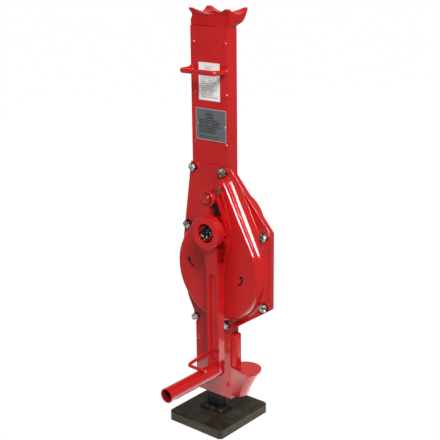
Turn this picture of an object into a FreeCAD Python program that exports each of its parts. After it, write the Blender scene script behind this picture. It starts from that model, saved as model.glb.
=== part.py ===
import FreeCAD, Part
import math
import os

# Rack and pinion jack: a toothed rack stands on a foot plate, and a plate-built housing with a
# gear case, a crown, a toe claw and a ratchet crank climbs the rack.
# Millimetres. X runs right along the front face, Y runs to the back, Z runs up.
# The origin lies on the foot plate's underside, below the middle of the column.

# Overall sizes
total_height = 730.0
sheet_front = 4.0
sheet_back = 4.0
running_clearance = 0.05
slide_clearance = 0.3
seat_gap = 0.1
overshoot = 1.0
pick_tolerance = 0.1

# Foot plate and the collar that the rack is welded into
foot_x = 122.0
foot_y = 135.0
foot_shift_x = -2.0
foot_shift_y = 3.5
foot_thick = 18.0
foot_corner_radius = 8.0
foot_edge_chamfer = 2.0
collar_margin = 8.0
collar_height = 6.0
collar_bevel = 5.0

# Rack
rack_thick = 15.0
rack_back_width = 20.0
rack_face_clearance = 0.5
rack_plain_foot = 56.0
rack_top_plain = 12.0
rack_head_gap = 21.0

# Gears: the rack stage and the crank stage
pressure_angle = math.radians(20.0)
rack_module = 5.0
rack_pinion_teeth = 8
rack_pinion_shift = 0.5
gear_module = 3.0
main_gear_teeth = 44
crank_pinion_teeth = 9
crank_pinion_shift = 0.4
tip_shortening = 0.1
root_depth = 1.25
backlash = 0.3
main_axis_x = 29.0
main_axis_z = 297.0
crank_axis_offset_x = 11.0
gear_face_width = 13.0
gear_front_gap = 2.0
gear_web = 6.0
gear_hub_radius = 21.0
gear_rim_inner_radius = 55.0
gear_hole_count = 6
gear_hole_margin = 6.0
gear_tip_clearance = 2.0
pinion_overlap = 1.0

# Column
column_width = 80.0
column_bottom_z = 52.0
front_edge_round = 1.0
back_edge_round = 2.5
crown_height = 29.0
bar_width = 12.0
shoe_length = 60.0
shoe_inset = 2.0
shoe_chamfer = 1.5
case_radius_top = 57.0
case_radius_low = 46.0
case_wall = 3.0

# Gear cover
cover_sheet = 4.0
dome_height = 17.5
dome_radius = 87.0
dome_draft = 5.0
dome_top_radius = 10.0
dome_top_shift = 9.5
dome_top_rise = 147.0
dome_edge_round = 6.0
cover_margin_top = 16.0
cover_margin_low = 22.0
cover_margin_right = 9.6
cover_margin_left = 3.0
cover_shoulder = 6.0
cover_right_high = 81.0
cover_right_low = -51.5
cover_chin = 1.0
cover_jaw = 20.0
cover_corner_round = 5.0
# Corners of the left edge: inset from its outermost line, height over the main axis
cover_left_corners = [(13.0, -68.0), (0.0, -22.0), (1.5, 12.0)]

# Cover bolts, size M8
bolt_radius = 4.0
bolt_flats = 13.0
bolt_head = 5.5
washer_radius = 7.5
washer_thick = 1.6
bolt_reach = 12.5
nut_height = 6.0
bolt_edge_top = 9.0
bolt_edge_low = 10.0
bolt_edge_right = 13.6
bolt_edge_left = 16.8
bolt_top_shift = 6.5
bolt_right_high = 73.0
bolt_right_low = -50.0
bolt_left_high = 65.0

# Column rivets
rivet_edge = 6.0
rivet_head_radius = 4.5
rivet_head_height = 2.5
rivet_radius = 2.5
rivet_crown_gap = 26.0
rivet_over_plate = 24.5
rivet_under_plate = 5.5
rivet_cover_gap = 30.0
rivet_foot_gap = 27.0

# Carry handle, plates on the front
handle_rod_radius = 4.25
handle_edge_left = 1.5
handle_edge_right = 5.0
handle_reach = 26.4
handle_bend_radius = 7.0
handle_drop = 2.5
rating_plate_width = 65.0
rating_plate_height = 53.0
rating_plate_thick = 0.8
rating_plate_shift = 2.75
label_width = 45.0
label_height = 62.0
label_thick = 0.3
label_shift = 0.0
pin_head_radius = 2.2
pin_head_height = 1.2
pin_edge = 2.6
# Shares of the upper column's bare height, below the plate and between plate and label
plate_low_share = 0.356
plate_label_share = 0.122

# Crown
crown_corner_round = 4.0
# Sections: share of the crown's height, then how far each stands out past the column's left, right,
# front and back face
crown_sections = [
    (0.00, 0.0, 0.0, 0.0, 0.0),
    (0.12, 0.0, 3.0, 0.0, 3.0),
    (0.24, 0.0, 6.5, 0.3, 7.0),
    (0.38, -1.0, 7.5, 0.8, 11.0),
    (0.55, -4.0, 8.0, 1.5, 14.0),
    (0.76, -4.0, 8.0, 4.0, 17.5),
    (1.00, -3.0, 7.0, 7.5, 20.5),
]
saddle_x_radius = 75.0
saddle_y_radius = 30.0
saddle_depth = 9.0
crown_seat_x = 44.0
crown_seat_y = 22.0
crown_seat_depth = 2.5

# Toe claw
claw_face_z = 114.0
claw_tip_x = 91.5
claw_nose_radius = 28.5
claw_tip_thick = 3.0
claw_root_front = 11.5
claw_corner_turn = math.radians(50.0)
claw_heel_z = 60.0
claw_heel_x = 66.0
claw_heel_radius = 17.0
claw_heel_bevel = 4.0
claw_strap_thick = 10.0
claw_strap_width = 18.0
claw_strap_mid_y = 0.0
claw_strap_gap = 9.0
claw_strap_round = 6.0
claw_fillet = 2.0

# Main shaft
main_journal_radius = 12.0
main_neck_radius = 15.0
main_seat_radius = 13.0
main_nose_radius = 10.0
retaining_ring_thick = 1.5
key_width = 6.0
key_height = 6.0

# Crank shaft and its stack
crank_journal_radius = 9.0
crank_nose_radius = 10.0
crank_thread_radius = 8.0
crank_thread_length = 11.0
bearing_wall = 6.0
bearing_flange = 6.0
bearing_flange_thick = 3.0
bearing_depth = 8.0
bearing_end = 2.5
cheek_rear = 5.0
cheek_front = 6.0
cheek_running_gap = 0.5
brake_disc_thick = 2.5
brake_disc_radius = 22.0
ratchet_thick = 8.0
ratchet_tip_radius = 24.0
ratchet_root_radius = 19.0
ratchet_teeth = 12
ratchet_engage_angle = math.radians(20.0)
thrust_collar_thick = 5.0
thrust_collar_radius = 18.0
nut_flats = 24.0
crank_nut_height = 10.0
nut_slot = 4.0
nut_slot_depth = 3.6
cotter_radius = 1.6
cotter_overhang = 1.0

# Crank forging
crank_radius = 251.5
crank_eye_radius = 26.0
crank_boss_radius = 27.5
crank_boss_height = 8.5
nut_recess_gap = 2.65
crank_boss_recess = 11.0
crank_arm_width = 26.0
crank_arm_thick = 14.0
crank_fork_depth = 76.0
crank_fork_bend = 22.8
crank_fork_floor = 26.5
crank_fork_web = 8.0
crank_groove_width = 14.0
crank_groove_depth = 3.5
lug_radius = 13.0
pawl_pin_x = -3.0
pawl_pin_z = 56.0
pawl_pin_radius = 5.0
pawl_pin_head_radius = 9.0
pawl_pin_head = 3.0
pawl_hub_radius = 9.0
pawl_tail_x = 10.0
pawl_tail_z = 17.0
pawl_tail_radius = 4.0
pawl_gap = 0.35
pawl_nose_over = 1.5
pawl_blade = 11.0
pawl_blade_rise = 2.0
pawl_hub_turn = math.radians(30.0)
pawl_spacer_inset = 1.0
grip_outer_radius = 12.5
grip_wall = 3.0
grip_length = 118.0
hook_wire_radius = 3.0
hook_bend_radius = 6.0
hook_stub = 8.0
hook_overhang = 14.0
hook_reach = 42.5
hook_rise = 10.0

# Places worked out from the sizes above
bar_half_depth = rack_thick / 2 + rack_face_clearance
front_y = -bar_half_depth - sheet_front
back_y = bar_half_depth + sheet_back
half_width = column_width / 2
bar_inner_x = half_width - bar_width
column_top_z = total_height - crown_height
dome_base_radius = dome_radius + dome_draft
dome_top_x = main_axis_x + dome_top_shift
dome_top_z = main_axis_z + dome_top_rise
cover_top_z = dome_top_z + dome_top_radius + dome_draft + cover_margin_top
cover_low_z = main_axis_z - dome_base_radius - cover_margin_low
cover_right_x = main_axis_x + dome_base_radius + cover_margin_right
cover_left_x = main_axis_x - dome_base_radius - cover_margin_left
cover_front_y = front_y - cover_sheet
dome_front_y = cover_front_y - dome_height
dome_inner_y = dome_front_y + cover_sheet
rack_pitch = math.pi * rack_module
rack_pinion_radius = rack_module * rack_pinion_teeth / 2
rack_line_x = main_axis_x - rack_pinion_radius - rack_pinion_shift * rack_module
rack_tip_x = rack_line_x + rack_module * (1 - tip_shortening)
rack_root_x = rack_line_x - rack_module * root_depth
rack_left_x = rack_root_x - rack_back_width
rack_top_z = column_top_z - rack_head_gap
rack_pinion_tip = rack_pinion_radius + rack_module * (1 + rack_pinion_shift)
crank_pinion_tip = gear_module * (crank_pinion_teeth / 2 + 1 + crank_pinion_shift)
centre_distance = gear_module * (main_gear_teeth + crank_pinion_teeth) / 2
crank_axis_x = main_axis_x + crank_axis_offset_x
crank_axis_z = main_axis_z + math.sqrt(centre_distance ** 2 - crank_axis_offset_x ** 2)
mesh_direction = math.atan2(crank_axis_z - main_axis_z, crank_axis_offset_x)
gear_front_y = dome_inner_y + gear_front_gap
gear_back_y = gear_front_y + gear_face_width
web_front_y = gear_back_y - gear_web
crank_bush_front_y = dome_front_y - bearing_flange_thick
rear_cheek_back_y = crank_bush_front_y - cheek_running_gap
rear_cheek_front_y = rear_cheek_back_y - cheek_rear
ratchet_back_y = rear_cheek_front_y - brake_disc_thick
ratchet_front_y = ratchet_back_y - ratchet_thick
collar_back_y = ratchet_front_y - brake_disc_thick
front_cheek_back_y = collar_back_y - thrust_collar_thick
front_cheek_front_y = front_cheek_back_y - cheek_front
boss_front_y = front_cheek_front_y - crank_boss_height
recess_floor_y = boss_front_y + crank_boss_recess
arm_mid_y = (rear_cheek_front_y + front_cheek_back_y) / 2
arm_front_y = arm_mid_y - crank_arm_thick / 2
arm_back_y = arm_mid_y + crank_arm_thick / 2
grip_z = crank_axis_z - crank_radius
rivet_x = half_width - rivet_edge
bolt_places = [
    (-rivet_x, cover_top_z - bolt_edge_top),
    (dome_top_x - bolt_top_shift, cover_top_z - bolt_edge_top),
    (cover_right_x - bolt_edge_right, main_axis_z + bolt_right_high),
    (cover_right_x - bolt_edge_right, main_axis_z + bolt_right_low),
    (rivet_x, cover_low_z + bolt_edge_low),
    (-rivet_x, cover_low_z + bolt_edge_low),
    (cover_left_x + bolt_edge_left, main_axis_z + bolt_left_high),
]
bare_height = column_top_z - cover_top_z - rating_plate_height - label_height
rating_plate_low_z = cover_top_z + plate_low_share * bare_height
rating_plate_top_z = rating_plate_low_z + rating_plate_height
label_low_z = rating_plate_top_z + plate_label_share * bare_height
rivet_rows = [
    column_top_z - rivet_crown_gap,
    rating_plate_top_z + rivet_over_plate,
    rating_plate_low_z - rivet_under_plate,
    cover_low_z - rivet_cover_gap,
    column_bottom_z + rivet_foot_gap,
]
handle_z = (rivet_rows[0] + rivet_rows[1]) / 2 - handle_drop
handle_left_x = -half_width + handle_edge_left
handle_right_x = half_width - handle_edge_right
claw_strap_top_z = cover_low_z - claw_strap_gap


def vec(x, y, z):
    return FreeCAD.Vector(x, y, z)


def block(x0, x1, y0, y1, z0, z1):
    return Part.makeBox(x1 - x0, y1 - y0, z1 - z0, vec(x0, y0, z0))


def rod_y(x, z, radius, y0, y1):
    """Round bar along Y from y0 to y1."""
    return Part.makeCylinder(radius, y1 - y0, vec(x, y0, z), vec(0, 1, 0))


def hex_y(x, z, flats, y0, y1):
    corner = flats / math.sqrt(3)
    points = []
    for k in range(7):
        angle = math.pi * k / 3
        points.append(vec(x + corner * math.cos(angle), y0, z + corner * math.sin(angle)))
    return Part.Face(Part.makePolygon(points)).extrude(vec(0, y1 - y0, 0))


def prism_y(outline, y0, y1):
    """Closed outline of (x, z) points, pulled along Y."""
    points = [vec(x, y0, z) for x, z in outline]
    return Part.Face(Part.makePolygon(points + points[:1])).extrude(vec(0, y1 - y0, 0))


def hull_wire(first, first_radius, second, second_radius, y):
    """Two circles in a plane across Y, with the belt line that wraps both."""
    along = math.atan2(second[1] - first[1], second[0] - first[0])
    reach = math.hypot(second[0] - first[0], second[1] - first[1])
    spread = math.acos((first_radius - second_radius) / reach)

    def at(centre, radius, angle):
        return vec(centre[0] + radius * math.cos(angle), y, centre[1] + radius * math.sin(angle))

    first_left = at(first, first_radius, along + spread)
    first_far = at(first, first_radius, along + math.pi)
    first_right = at(first, first_radius, along - spread)
    second_right = at(second, second_radius, along - spread)
    second_far = at(second, second_radius, along)
    second_left = at(second, second_radius, along + spread)
    edges = [
        Part.LineSegment(second_left, first_left).toShape(),
        Part.Arc(first_left, first_far, first_right).toShape(),
        Part.LineSegment(first_right, second_right).toShape(),
        Part.Arc(second_right, second_far, second_left).toShape(),
    ]
    return Part.Wire(edges)


def hull_prism(first, first_radius, second, second_radius, y0, y1):
    face = Part.Face(hull_wire(first, first_radius, second, second_radius, y0))
    return face.extrude(vec(0, y1 - y0, 0))


def involute(angle):
    return math.tan(angle) - angle


def gear(module, teeth, shift, centre_x, centre_z, phase, y0, y1):
    """Spur gear with involute flanks; phase is the angle of one tooth's middle, from X towards Z."""
    pitch_radius = module * teeth / 2
    base_radius = pitch_radius * math.cos(pressure_angle)
    tip_radius = pitch_radius + module * (1 + shift - tip_shortening)
    root_radius = pitch_radius - module * (root_depth - shift)
    thickness = module * (math.pi / 2 + 2 * shift * math.tan(pressure_angle)) - backlash
    start_radius = max(base_radius, root_radius)
    middle_radius = (start_radius + tip_radius) / 2

    def half_angle(radius):
        flank = math.acos(min(1.0, base_radius / radius))
        return thickness / 2 / pitch_radius + involute(pressure_angle) - involute(flank)

    def at(radius, angle):
        return vec(centre_x + radius * math.cos(angle), y0, centre_z + radius * math.sin(angle))

    edges = []
    step = 2 * math.pi / teeth
    root_half = half_angle(start_radius)
    flank_radii = [start_radius, middle_radius, tip_radius]
    for k in range(teeth):
        middle = phase + step * k
        rise = [at(radius, middle - half_angle(radius)) for radius in flank_radii]
        fall = [at(radius, middle + half_angle(radius)) for radius in reversed(flank_radii)]
        root_in = at(root_radius, middle - root_half)
        root_out = at(root_radius, middle + root_half)
        root_next = at(root_radius, middle + step - root_half)
        if root_radius < start_radius:
            edges.append(Part.LineSegment(root_in, rise[0]).toShape())
        edges.append(Part.Arc(*rise).toShape())
        edges.append(Part.Arc(rise[2], at(tip_radius, middle), fall[0]).toShape())
        edges.append(Part.Arc(*fall).toShape())
        if root_radius < start_radius:
            edges.append(Part.LineSegment(fall[2], root_out).toShape())
        edges.append(Part.Arc(root_out, at(root_radius, middle + step / 2), root_next).toShape())
    return Part.Face(Part.Wire(edges)).extrude(vec(0, y1 - y0, 0))


def rounded_path(points, radius):
    """Straight runs through the points, with each corner turned by a tangent arc."""
    edges = []
    start = points[0]
    for before, corner, after in zip(points, points[1:], points[2:]):
        back = (before - corner).normalize()
        ahead = (after - corner).normalize()
        half_turn = (math.pi - back.getAngle(ahead)) / 2
        trim = radius * math.tan(half_turn)
        arc_start = corner + back * trim
        arc_end = corner + ahead * trim
        inward = (back + ahead).normalize()
        arc_middle = corner + inward * (radius / math.cos(half_turn) - radius)
        edges.append(Part.LineSegment(start, arc_start).toShape())
        edges.append(Part.Arc(arc_start, arc_middle, arc_end).toShape())
        start = arc_end
    edges.append(Part.LineSegment(start, points[-1]).toShape())
    return Part.Wire(edges)


def rounded_loop(points, radii):
    """Closed outline through the points, with its own corner radius at each point."""
    edges = []
    ends = []
    for k, corner in enumerate(points):
        back = (points[k - 1] - corner).normalize()
        ahead = (points[(k + 1) % len(points)] - corner).normalize()
        if radii[k] == 0:
            ends.append((corner, corner))
            continue
        half_turn = (math.pi - back.getAngle(ahead)) / 2
        trim = radii[k] * math.tan(half_turn)
        arc_middle = corner + (back + ahead).normalize() * (radii[k] / math.cos(half_turn) - radii[k])
        ends.append((corner + back * trim, corner + ahead * trim))
        edges.append(Part.Arc(ends[k][0], arc_middle, ends[k][1]).toShape())
    for k in range(len(points)):
        edges.append(Part.LineSegment(ends[k - 1][1], ends[k][0]).toShape())
    return Part.Wire(Part.__sortEdges__(edges))


def bent_rod(points, bend_radius, rod_radius):
    path = rounded_path(points, bend_radius)
    section = Part.Wire(Part.makeCircle(rod_radius, points[0], points[1] - points[0]))
    return path.makePipeShell([section], True, True)


def edges_where(shape, test):
    return [edge for edge in shape.Edges if test(edge.BoundBox)]


def save(name, shape):
    shape.exportStep("parts/" + name + ".step")


def foot_plate():
    plate = block(
        foot_shift_x - foot_x / 2,
        foot_shift_x + foot_x / 2,
        foot_shift_y - foot_y / 2,
        foot_shift_y + foot_y / 2,
        0,
        foot_thick,
    )
    upright = edges_where(plate, lambda box: box.ZLength > foot_thick / 2)
    plate = plate.makeFillet(foot_corner_radius, upright)
    rim = edges_where(plate, lambda box: box.ZMin > foot_thick - pick_tolerance)
    return plate.makeChamfer(foot_edge_chamfer, rim)


def foot_collar():
    """Square weld collar round the foot of the rack, with its top edge bevelled."""
    outer = block(
        rack_left_x - collar_margin,
        rack_tip_x + collar_margin,
        -rack_thick / 2 - collar_margin,
        rack_thick / 2 + collar_margin,
        foot_thick,
        foot_thick + collar_height,
    )
    rim = edges_where(outer, lambda box: box.ZMin > foot_thick + collar_height - pick_tolerance)
    outer = outer.makeChamfer(collar_bevel, rim)
    hole = block(
        rack_left_x - seat_gap,
        rack_tip_x + seat_gap,
        -rack_thick / 2 - seat_gap,
        rack_thick / 2 + seat_gap,
        0,
        total_height,
    )
    return outer.cut(hole)


def rack():
    """Toothed bar with straight-sided teeth facing the pinion."""
    half_at_line = rack_pitch / 4 - backlash / 4
    slope = math.tan(pressure_angle)
    half_tip = half_at_line - (rack_tip_x - rack_line_x) * slope
    half_root = half_at_line + (rack_line_x - rack_root_x) * slope
    outline = [(rack_left_x, rack_top_z), (rack_left_x, foot_thick), (rack_tip_x, foot_thick)]
    first = math.ceil((foot_thick + rack_plain_foot - main_axis_z) / rack_pitch)
    last = math.floor((rack_top_z - rack_top_plain - rack_pitch / 2 - main_axis_z) / rack_pitch)
    for k in range(first, last + 1):
        space = main_axis_z + rack_pitch * k
        outline.append((rack_tip_x, space - rack_pitch / 2 + half_tip))
        outline.append((rack_root_x, space - rack_pitch / 2 + half_root))
        outline.append((rack_root_x, space + rack_pitch / 2 - half_root))
        outline.append((rack_tip_x, space + rack_pitch / 2 - half_tip))
    outline.append((rack_tip_x, rack_top_z))
    return prism_y(outline, -rack_thick / 2, rack_thick / 2)


def case_outline():
    """Outline shared by the gear cover and the widened part of the front plate."""
    left_edge = [(cover_left_x + inset, main_axis_z + rise) for inset, rise in cover_left_corners]
    return [
        (-half_width, cover_top_z),
        (half_width + cover_shoulder, cover_top_z),
        (cover_right_x, main_axis_z + cover_right_high),
        (cover_right_x, main_axis_z + cover_right_low),
        (half_width, cover_low_z + cover_chin),
        (half_width, cover_low_z),
        (-half_width, cover_low_z),
        (-half_width, cover_low_z + cover_jaw),
    ] + left_edge


def case_sheet(y0, y1):
    """Sheet with the case outline, its two right-hand corners rounded."""
    outline = case_outline()
    radii = [cover_corner_round if x == cover_right_x else 0 for x, z in outline]
    points = [vec(x, y0, z) for x, z in outline]
    return Part.Face(rounded_loop(points, radii)).extrude(vec(0, y1 - y0, 0))


def bolt_holes(y0, y1):
    return [rod_y(x, z, bolt_radius + seat_gap, y0, y1) for x, z in bolt_places]


def rivet_places():
    return [(side * rivet_x, z) for z in rivet_rows for side in (-1, 1)]


def rivet_holes():
    radius = rivet_radius + seat_gap
    return [rod_y(x, z, radius, front_y - overshoot, back_y + overshoot) for x, z in rivet_places()]


def eased_strip(strip, face_y, radius):
    """Column sheet with its two long outer edges rounded; face_y is its outer face."""

    def on_face(box):
        return abs(box.YMin - face_y) < pick_tolerance and box.YLength < pick_tolerance

    upright = edges_where(strip, lambda box: on_face(box) and box.ZLength > column_width)
    return strip.makeFillet(radius, upright)


def front_plate():
    strip = block(-half_width, half_width, front_y, -bar_half_depth, column_bottom_z, column_top_z)
    strip = eased_strip(strip, front_y, front_edge_round)
    plate = strip.fuse(case_sheet(front_y, -bar_half_depth)).removeSplitter()
    main_opening = rack_pinion_tip + gear_tip_clearance
    crank_opening = crank_pinion_tip + gear_tip_clearance
    cuts = [
        rod_y(main_axis_x, main_axis_z, main_opening, front_y - overshoot, 0),
        rod_y(crank_axis_x, crank_axis_z, crank_opening, front_y - overshoot, 0),
    ]
    return plate.cut(cuts + bolt_holes(front_y - overshoot, 0) + rivet_holes())


def back_plate():
    strip = block(-half_width, half_width, bar_half_depth, back_y, column_bottom_z, column_top_z)
    strip = eased_strip(strip, back_y, back_edge_round)
    bulge = hull_prism(
        (crank_axis_x, crank_axis_z),
        case_radius_top,
        (main_axis_x, main_axis_z),
        case_radius_low,
        bar_half_depth,
        back_y,
    )
    right = bulge.common(block(0, cover_right_x, bar_half_depth, back_y, 0, total_height))
    plate = strip.fuse(right).removeSplitter()
    main_seat = main_journal_radius + bearing_wall + seat_gap
    crank_seat = crank_journal_radius + bearing_wall + seat_gap
    cuts = [
        rod_y(main_axis_x, main_axis_z, main_seat, 0, back_y + overshoot),
        rod_y(crank_axis_x, crank_axis_z, crank_seat, 0, back_y + overshoot),
    ]
    return plate.cut(cuts + rivet_holes())


def case_rim():
    """Bent strip that closes the case between the front and back plates, right of the column."""
    high = (crank_axis_x, crank_axis_z)
    low = (main_axis_x, main_axis_z)
    depth = (-bar_half_depth, bar_half_depth)
    outer = hull_prism(high, case_radius_top, low, case_radius_low, *depth)
    inner = hull_prism(high, case_radius_top - case_wall, low, case_radius_low - case_wall, *depth)
    right = block(half_width, cover_right_x, -bar_half_depth, bar_half_depth, 0, total_height)
    return outer.cut(inner).common(right)


def case_gap():
    """Height range in which the case opens through the column's right side."""
    drop = math.sqrt((case_radius_low - case_wall) ** 2 - (half_width - main_axis_x) ** 2)
    rise = math.sqrt((case_radius_top - case_wall) ** 2 - (half_width - crank_axis_x) ** 2)
    return main_axis_z - drop, crank_axis_z + rise


def side_bar(x0, x1, z0, z1):
    bar = block(x0, x1, -bar_half_depth, bar_half_depth, z0, z1)
    hole_end_y = cover_front_y + bolt_reach + overshoot
    return bar.cut(bolt_holes(-bar_half_depth - overshoot, hole_end_y) + rivet_holes())


def guide_shoe(x0, x1, z0):
    """Bearing block between a side bar and the rack, with its ends eased."""
    shoe = block(x0, x1, -rack_thick / 2, rack_thick / 2, z0, z0 + shoe_length)
    ends = edges_where(shoe, lambda box: box.YLength > rack_thick / 2)
    return shoe.makeChamfer(shoe_chamfer, ends)


def crown_section(share, left, right, front, back):
    """Rectangle with rounded corners, standing out past the column's faces by the given amounts."""
    z = column_top_z + share * crown_height
    x0, x1 = -half_width - left, half_width + right
    y0, y1 = front_y - front, back_y + back
    r = crown_corner_round
    mid = r * (1 - math.sqrt(0.5))
    edges = [
        Part.LineSegment(vec(x0 + r, y0, z), vec(x1 - r, y0, z)).toShape(),
        Part.Arc(vec(x1 - r, y0, z), vec(x1 - mid, y0 + mid, z), vec(x1, y0 + r, z)).toShape(),
        Part.LineSegment(vec(x1, y0 + r, z), vec(x1, y1 - r, z)).toShape(),
        Part.Arc(vec(x1, y1 - r, z), vec(x1 - mid, y1 - mid, z), vec(x1 - r, y1, z)).toShape(),
        Part.LineSegment(vec(x1 - r, y1, z), vec(x0 + r, y1, z)).toShape(),
        Part.Arc(vec(x0 + r, y1, z), vec(x0 + mid, y1 - mid, z), vec(x0, y1 - r, z)).toShape(),
        Part.LineSegment(vec(x0, y1 - r, z), vec(x0, y0 + r, z)).toShape(),
        Part.Arc(vec(x0, y0 + r, z), vec(x0 + mid, y0 + mid, z), vec(x0 + r, y0, z)).toShape(),
    ]
    return Part.Wire(edges)


def crown():
    """Forged head: the block bulges out of the column, and two crossed saddles leave four horns."""
    head = Part.makeLoft([crown_section(*row) for row in crown_sections], True, False)
    left, right, front, back = crown_sections[-1][1:]
    mid_x = (right - left) / 2
    mid_y = (front_y - front + back_y + back) / 2
    floor_z = total_height - saddle_depth
    across = Part.makeCylinder(
        saddle_x_radius,
        2 * column_width,
        vec(mid_x, mid_y - column_width, floor_z + saddle_x_radius),
        vec(0, 1, 0),
    )
    along = Part.makeCylinder(
        saddle_y_radius,
        2 * column_width,
        vec(mid_x - column_width, mid_y, floor_z + saddle_y_radius),
        vec(1, 0, 0),
    )
    seat = block(
        mid_x - crown_seat_x / 2,
        mid_x + crown_seat_x / 2,
        mid_y - crown_seat_y / 2,
        mid_y + crown_seat_y / 2,
        floor_z - crown_seat_depth,
        total_height,
    )
    return head.cut([across, along, seat])


def toe_plan(tip_x, radius, z):
    """Toe outline at height z: a straight front side, a corner, and a round nose to the back."""
    nose_x = tip_x - radius
    corner_x = nose_x + radius * math.cos(claw_corner_turn)
    corner = vec(corner_x, -radius * math.sin(claw_corner_turn), z)
    front = vec(half_width, -claw_root_front, z)
    back = vec(half_width, math.sqrt(radius ** 2 - (nose_x - half_width) ** 2), z)
    edges = [
        Part.LineSegment(front, corner).toShape(),
        Part.Arc(corner, vec(tip_x, 0, z), back).toShape(),
        Part.LineSegment(back, front).toShape(),
    ]
    return Part.Wire(edges)


def toe_claw():
    """Forged lifting toe: a strap up the column's side and a round toe that tapers to its heel."""
    plans = [
        toe_plan(claw_heel_x - claw_heel_bevel, claw_heel_radius - claw_heel_bevel, claw_heel_z),
        toe_plan(claw_heel_x, claw_heel_radius, claw_heel_z + claw_heel_bevel),
        toe_plan(claw_tip_x, claw_nose_radius, claw_face_z - claw_tip_thick),
        toe_plan(claw_tip_x, claw_nose_radius, claw_face_z),
    ]
    toe = Part.makeLoft(plans, True, True)
    strap = block(
        half_width,
        half_width + claw_strap_thick,
        claw_strap_mid_y - claw_strap_width / 2,
        claw_strap_mid_y + claw_strap_width / 2,
        claw_face_z - claw_tip_thick,
        claw_strap_top_z,
    )
    outer_x = half_width + claw_strap_thick
    corners = edges_where(
        strap,
        lambda box: box.XMin > outer_x - pick_tolerance and box.ZMax > claw_face_z,
    )
    strap = strap.makeFillet(claw_strap_round, corners)
    claw = toe.fuse(strap).removeSplitter()

    def is_root(box):
        on_face = abs(box.ZMax - claw_face_z) < pick_tolerance and box.ZLength < pick_tolerance
        return on_face and box.XMax < outer_x + pick_tolerance and box.XMin > half_width + pick_tolerance

    return claw.makeFillet(claw_fillet, edges_where(claw, is_root))


def carry_handle():
    bar_y = front_y - handle_reach
    points = [
        vec(handle_left_x, front_y, handle_z),
        vec(handle_left_x, bar_y, handle_z),
        vec(handle_right_x, bar_y, handle_z),
        vec(handle_right_x, front_y, handle_z),
    ]
    return bent_rod(points, handle_bend_radius, handle_rod_radius)


def front_panel(middle_x, width, low_z, height, thick):
    left_x = middle_x - width / 2
    return block(left_x, left_x + width, front_y - thick, front_y, low_z, low_z + height)


def rating_plate():
    return front_panel(
        rating_plate_shift,
        rating_plate_width,
        rating_plate_low_z,
        rating_plate_height,
        rating_plate_thick,
    )


def paper_label():
    return front_panel(label_shift, label_width, label_low_z, label_height, label_thick)


def domed_head(x, z, radius, height, seat_y, outward):
    """Shallow round head on a face across Y; outward is -1 for the front and 1 for the back."""
    ball_radius = (radius ** 2 + height ** 2) / (2 * height)
    centre_y = seat_y + outward * (height - ball_radius)
    ball = Part.makeSphere(ball_radius, vec(x, centre_y, z))
    near, far = sorted((seat_y, seat_y + outward * height))
    return ball.common(block(x - radius, x + radius, near, far, z - radius, z + radius))


def column_rivets():
    rivets = []
    for x, z in rivet_places():
        shank = rod_y(x, z, rivet_radius, front_y, back_y)
        front_head = domed_head(x, z, rivet_head_radius, rivet_head_height, front_y, -1)
        back_head = domed_head(x, z, rivet_head_radius, rivet_head_height, back_y, 1)
        rivets.append(shank.fuse([front_head, back_head]))
    return Part.makeCompound(rivets)


def plate_pins():
    seat_y = front_y - rating_plate_thick
    reach = rating_plate_width / 2 - pin_edge
    middle_z = (rating_plate_low_z + rating_plate_top_z) / 2
    heads = []
    for x in (rating_plate_shift - reach, rating_plate_shift + reach):
        heads.append(domed_head(x, middle_z, pin_head_radius, pin_head_height, seat_y, -1))
    return Part.makeCompound(heads)


def dome(inset, y_base, y_front):
    """Tapered dome over the main gear and the crank pinion, drawn in by inset."""
    low = (main_axis_x, main_axis_z)
    high = (dome_top_x, dome_top_z)
    base = hull_wire(
        low,
        dome_base_radius - inset,
        high,
        dome_top_radius + dome_draft - inset,
        y_base,
    )
    front = hull_wire(low, dome_radius - inset, high, dome_top_radius - inset, y_front)
    return Part.makeLoft([base, front], True, True)


def gear_cover():
    """Pressed cover: a flat flange and a dome, of one sheet."""
    outer = dome(0, cover_front_y, dome_front_y)
    front_edges = edges_where(outer, lambda box: box.YMax < dome_front_y + pick_tolerance)
    outer = outer.makeFillet(dome_edge_round, front_edges)
    flange = case_sheet(cover_front_y, front_y)
    cover = flange.fuse(outer).removeSplitter()
    inner = dome(cover_sheet, front_y, dome_inner_y)
    crank_hole = rod_y(
        crank_axis_x,
        crank_axis_z,
        crank_nose_radius + bearing_wall + seat_gap,
        dome_front_y - overshoot,
        front_y,
    )
    return cover.cut([inner, crank_hole] + bolt_holes(cover_front_y - overshoot, front_y + overshoot))


def cover_bolts():
    bolts = []
    for x, z in bolt_places:
        seat_y = cover_front_y - washer_thick
        head = hex_y(x, z, bolt_flats, seat_y - bolt_head, seat_y)
        cone = Part.makeCone(
            bolt_flats / 2 + bolt_head,
            bolt_flats / 2,
            bolt_head,
            vec(x, seat_y, z),
            vec(0, -1, 0),
        )
        washer = rod_y(x, z, washer_radius, seat_y, cover_front_y)
        shank = rod_y(x, z, bolt_radius, cover_front_y, cover_front_y + bolt_reach)
        bolts.append(head.common(cone).fuse([washer, shank]))
    return Part.makeCompound(bolts)


def cover_nuts():
    """Weld nuts behind the front plate, where no side bar takes the bolt."""
    nuts = []
    for x, z in bolt_places:
        if abs(x) > half_width:
            body = hex_y(x, z, bolt_flats, -bar_half_depth, -bar_half_depth + nut_height)
            nuts.append(body.cut(rod_y(x, z, bolt_radius + seat_gap, -bar_half_depth - overshoot, 0)))
    return Part.makeCompound(nuts)


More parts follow.
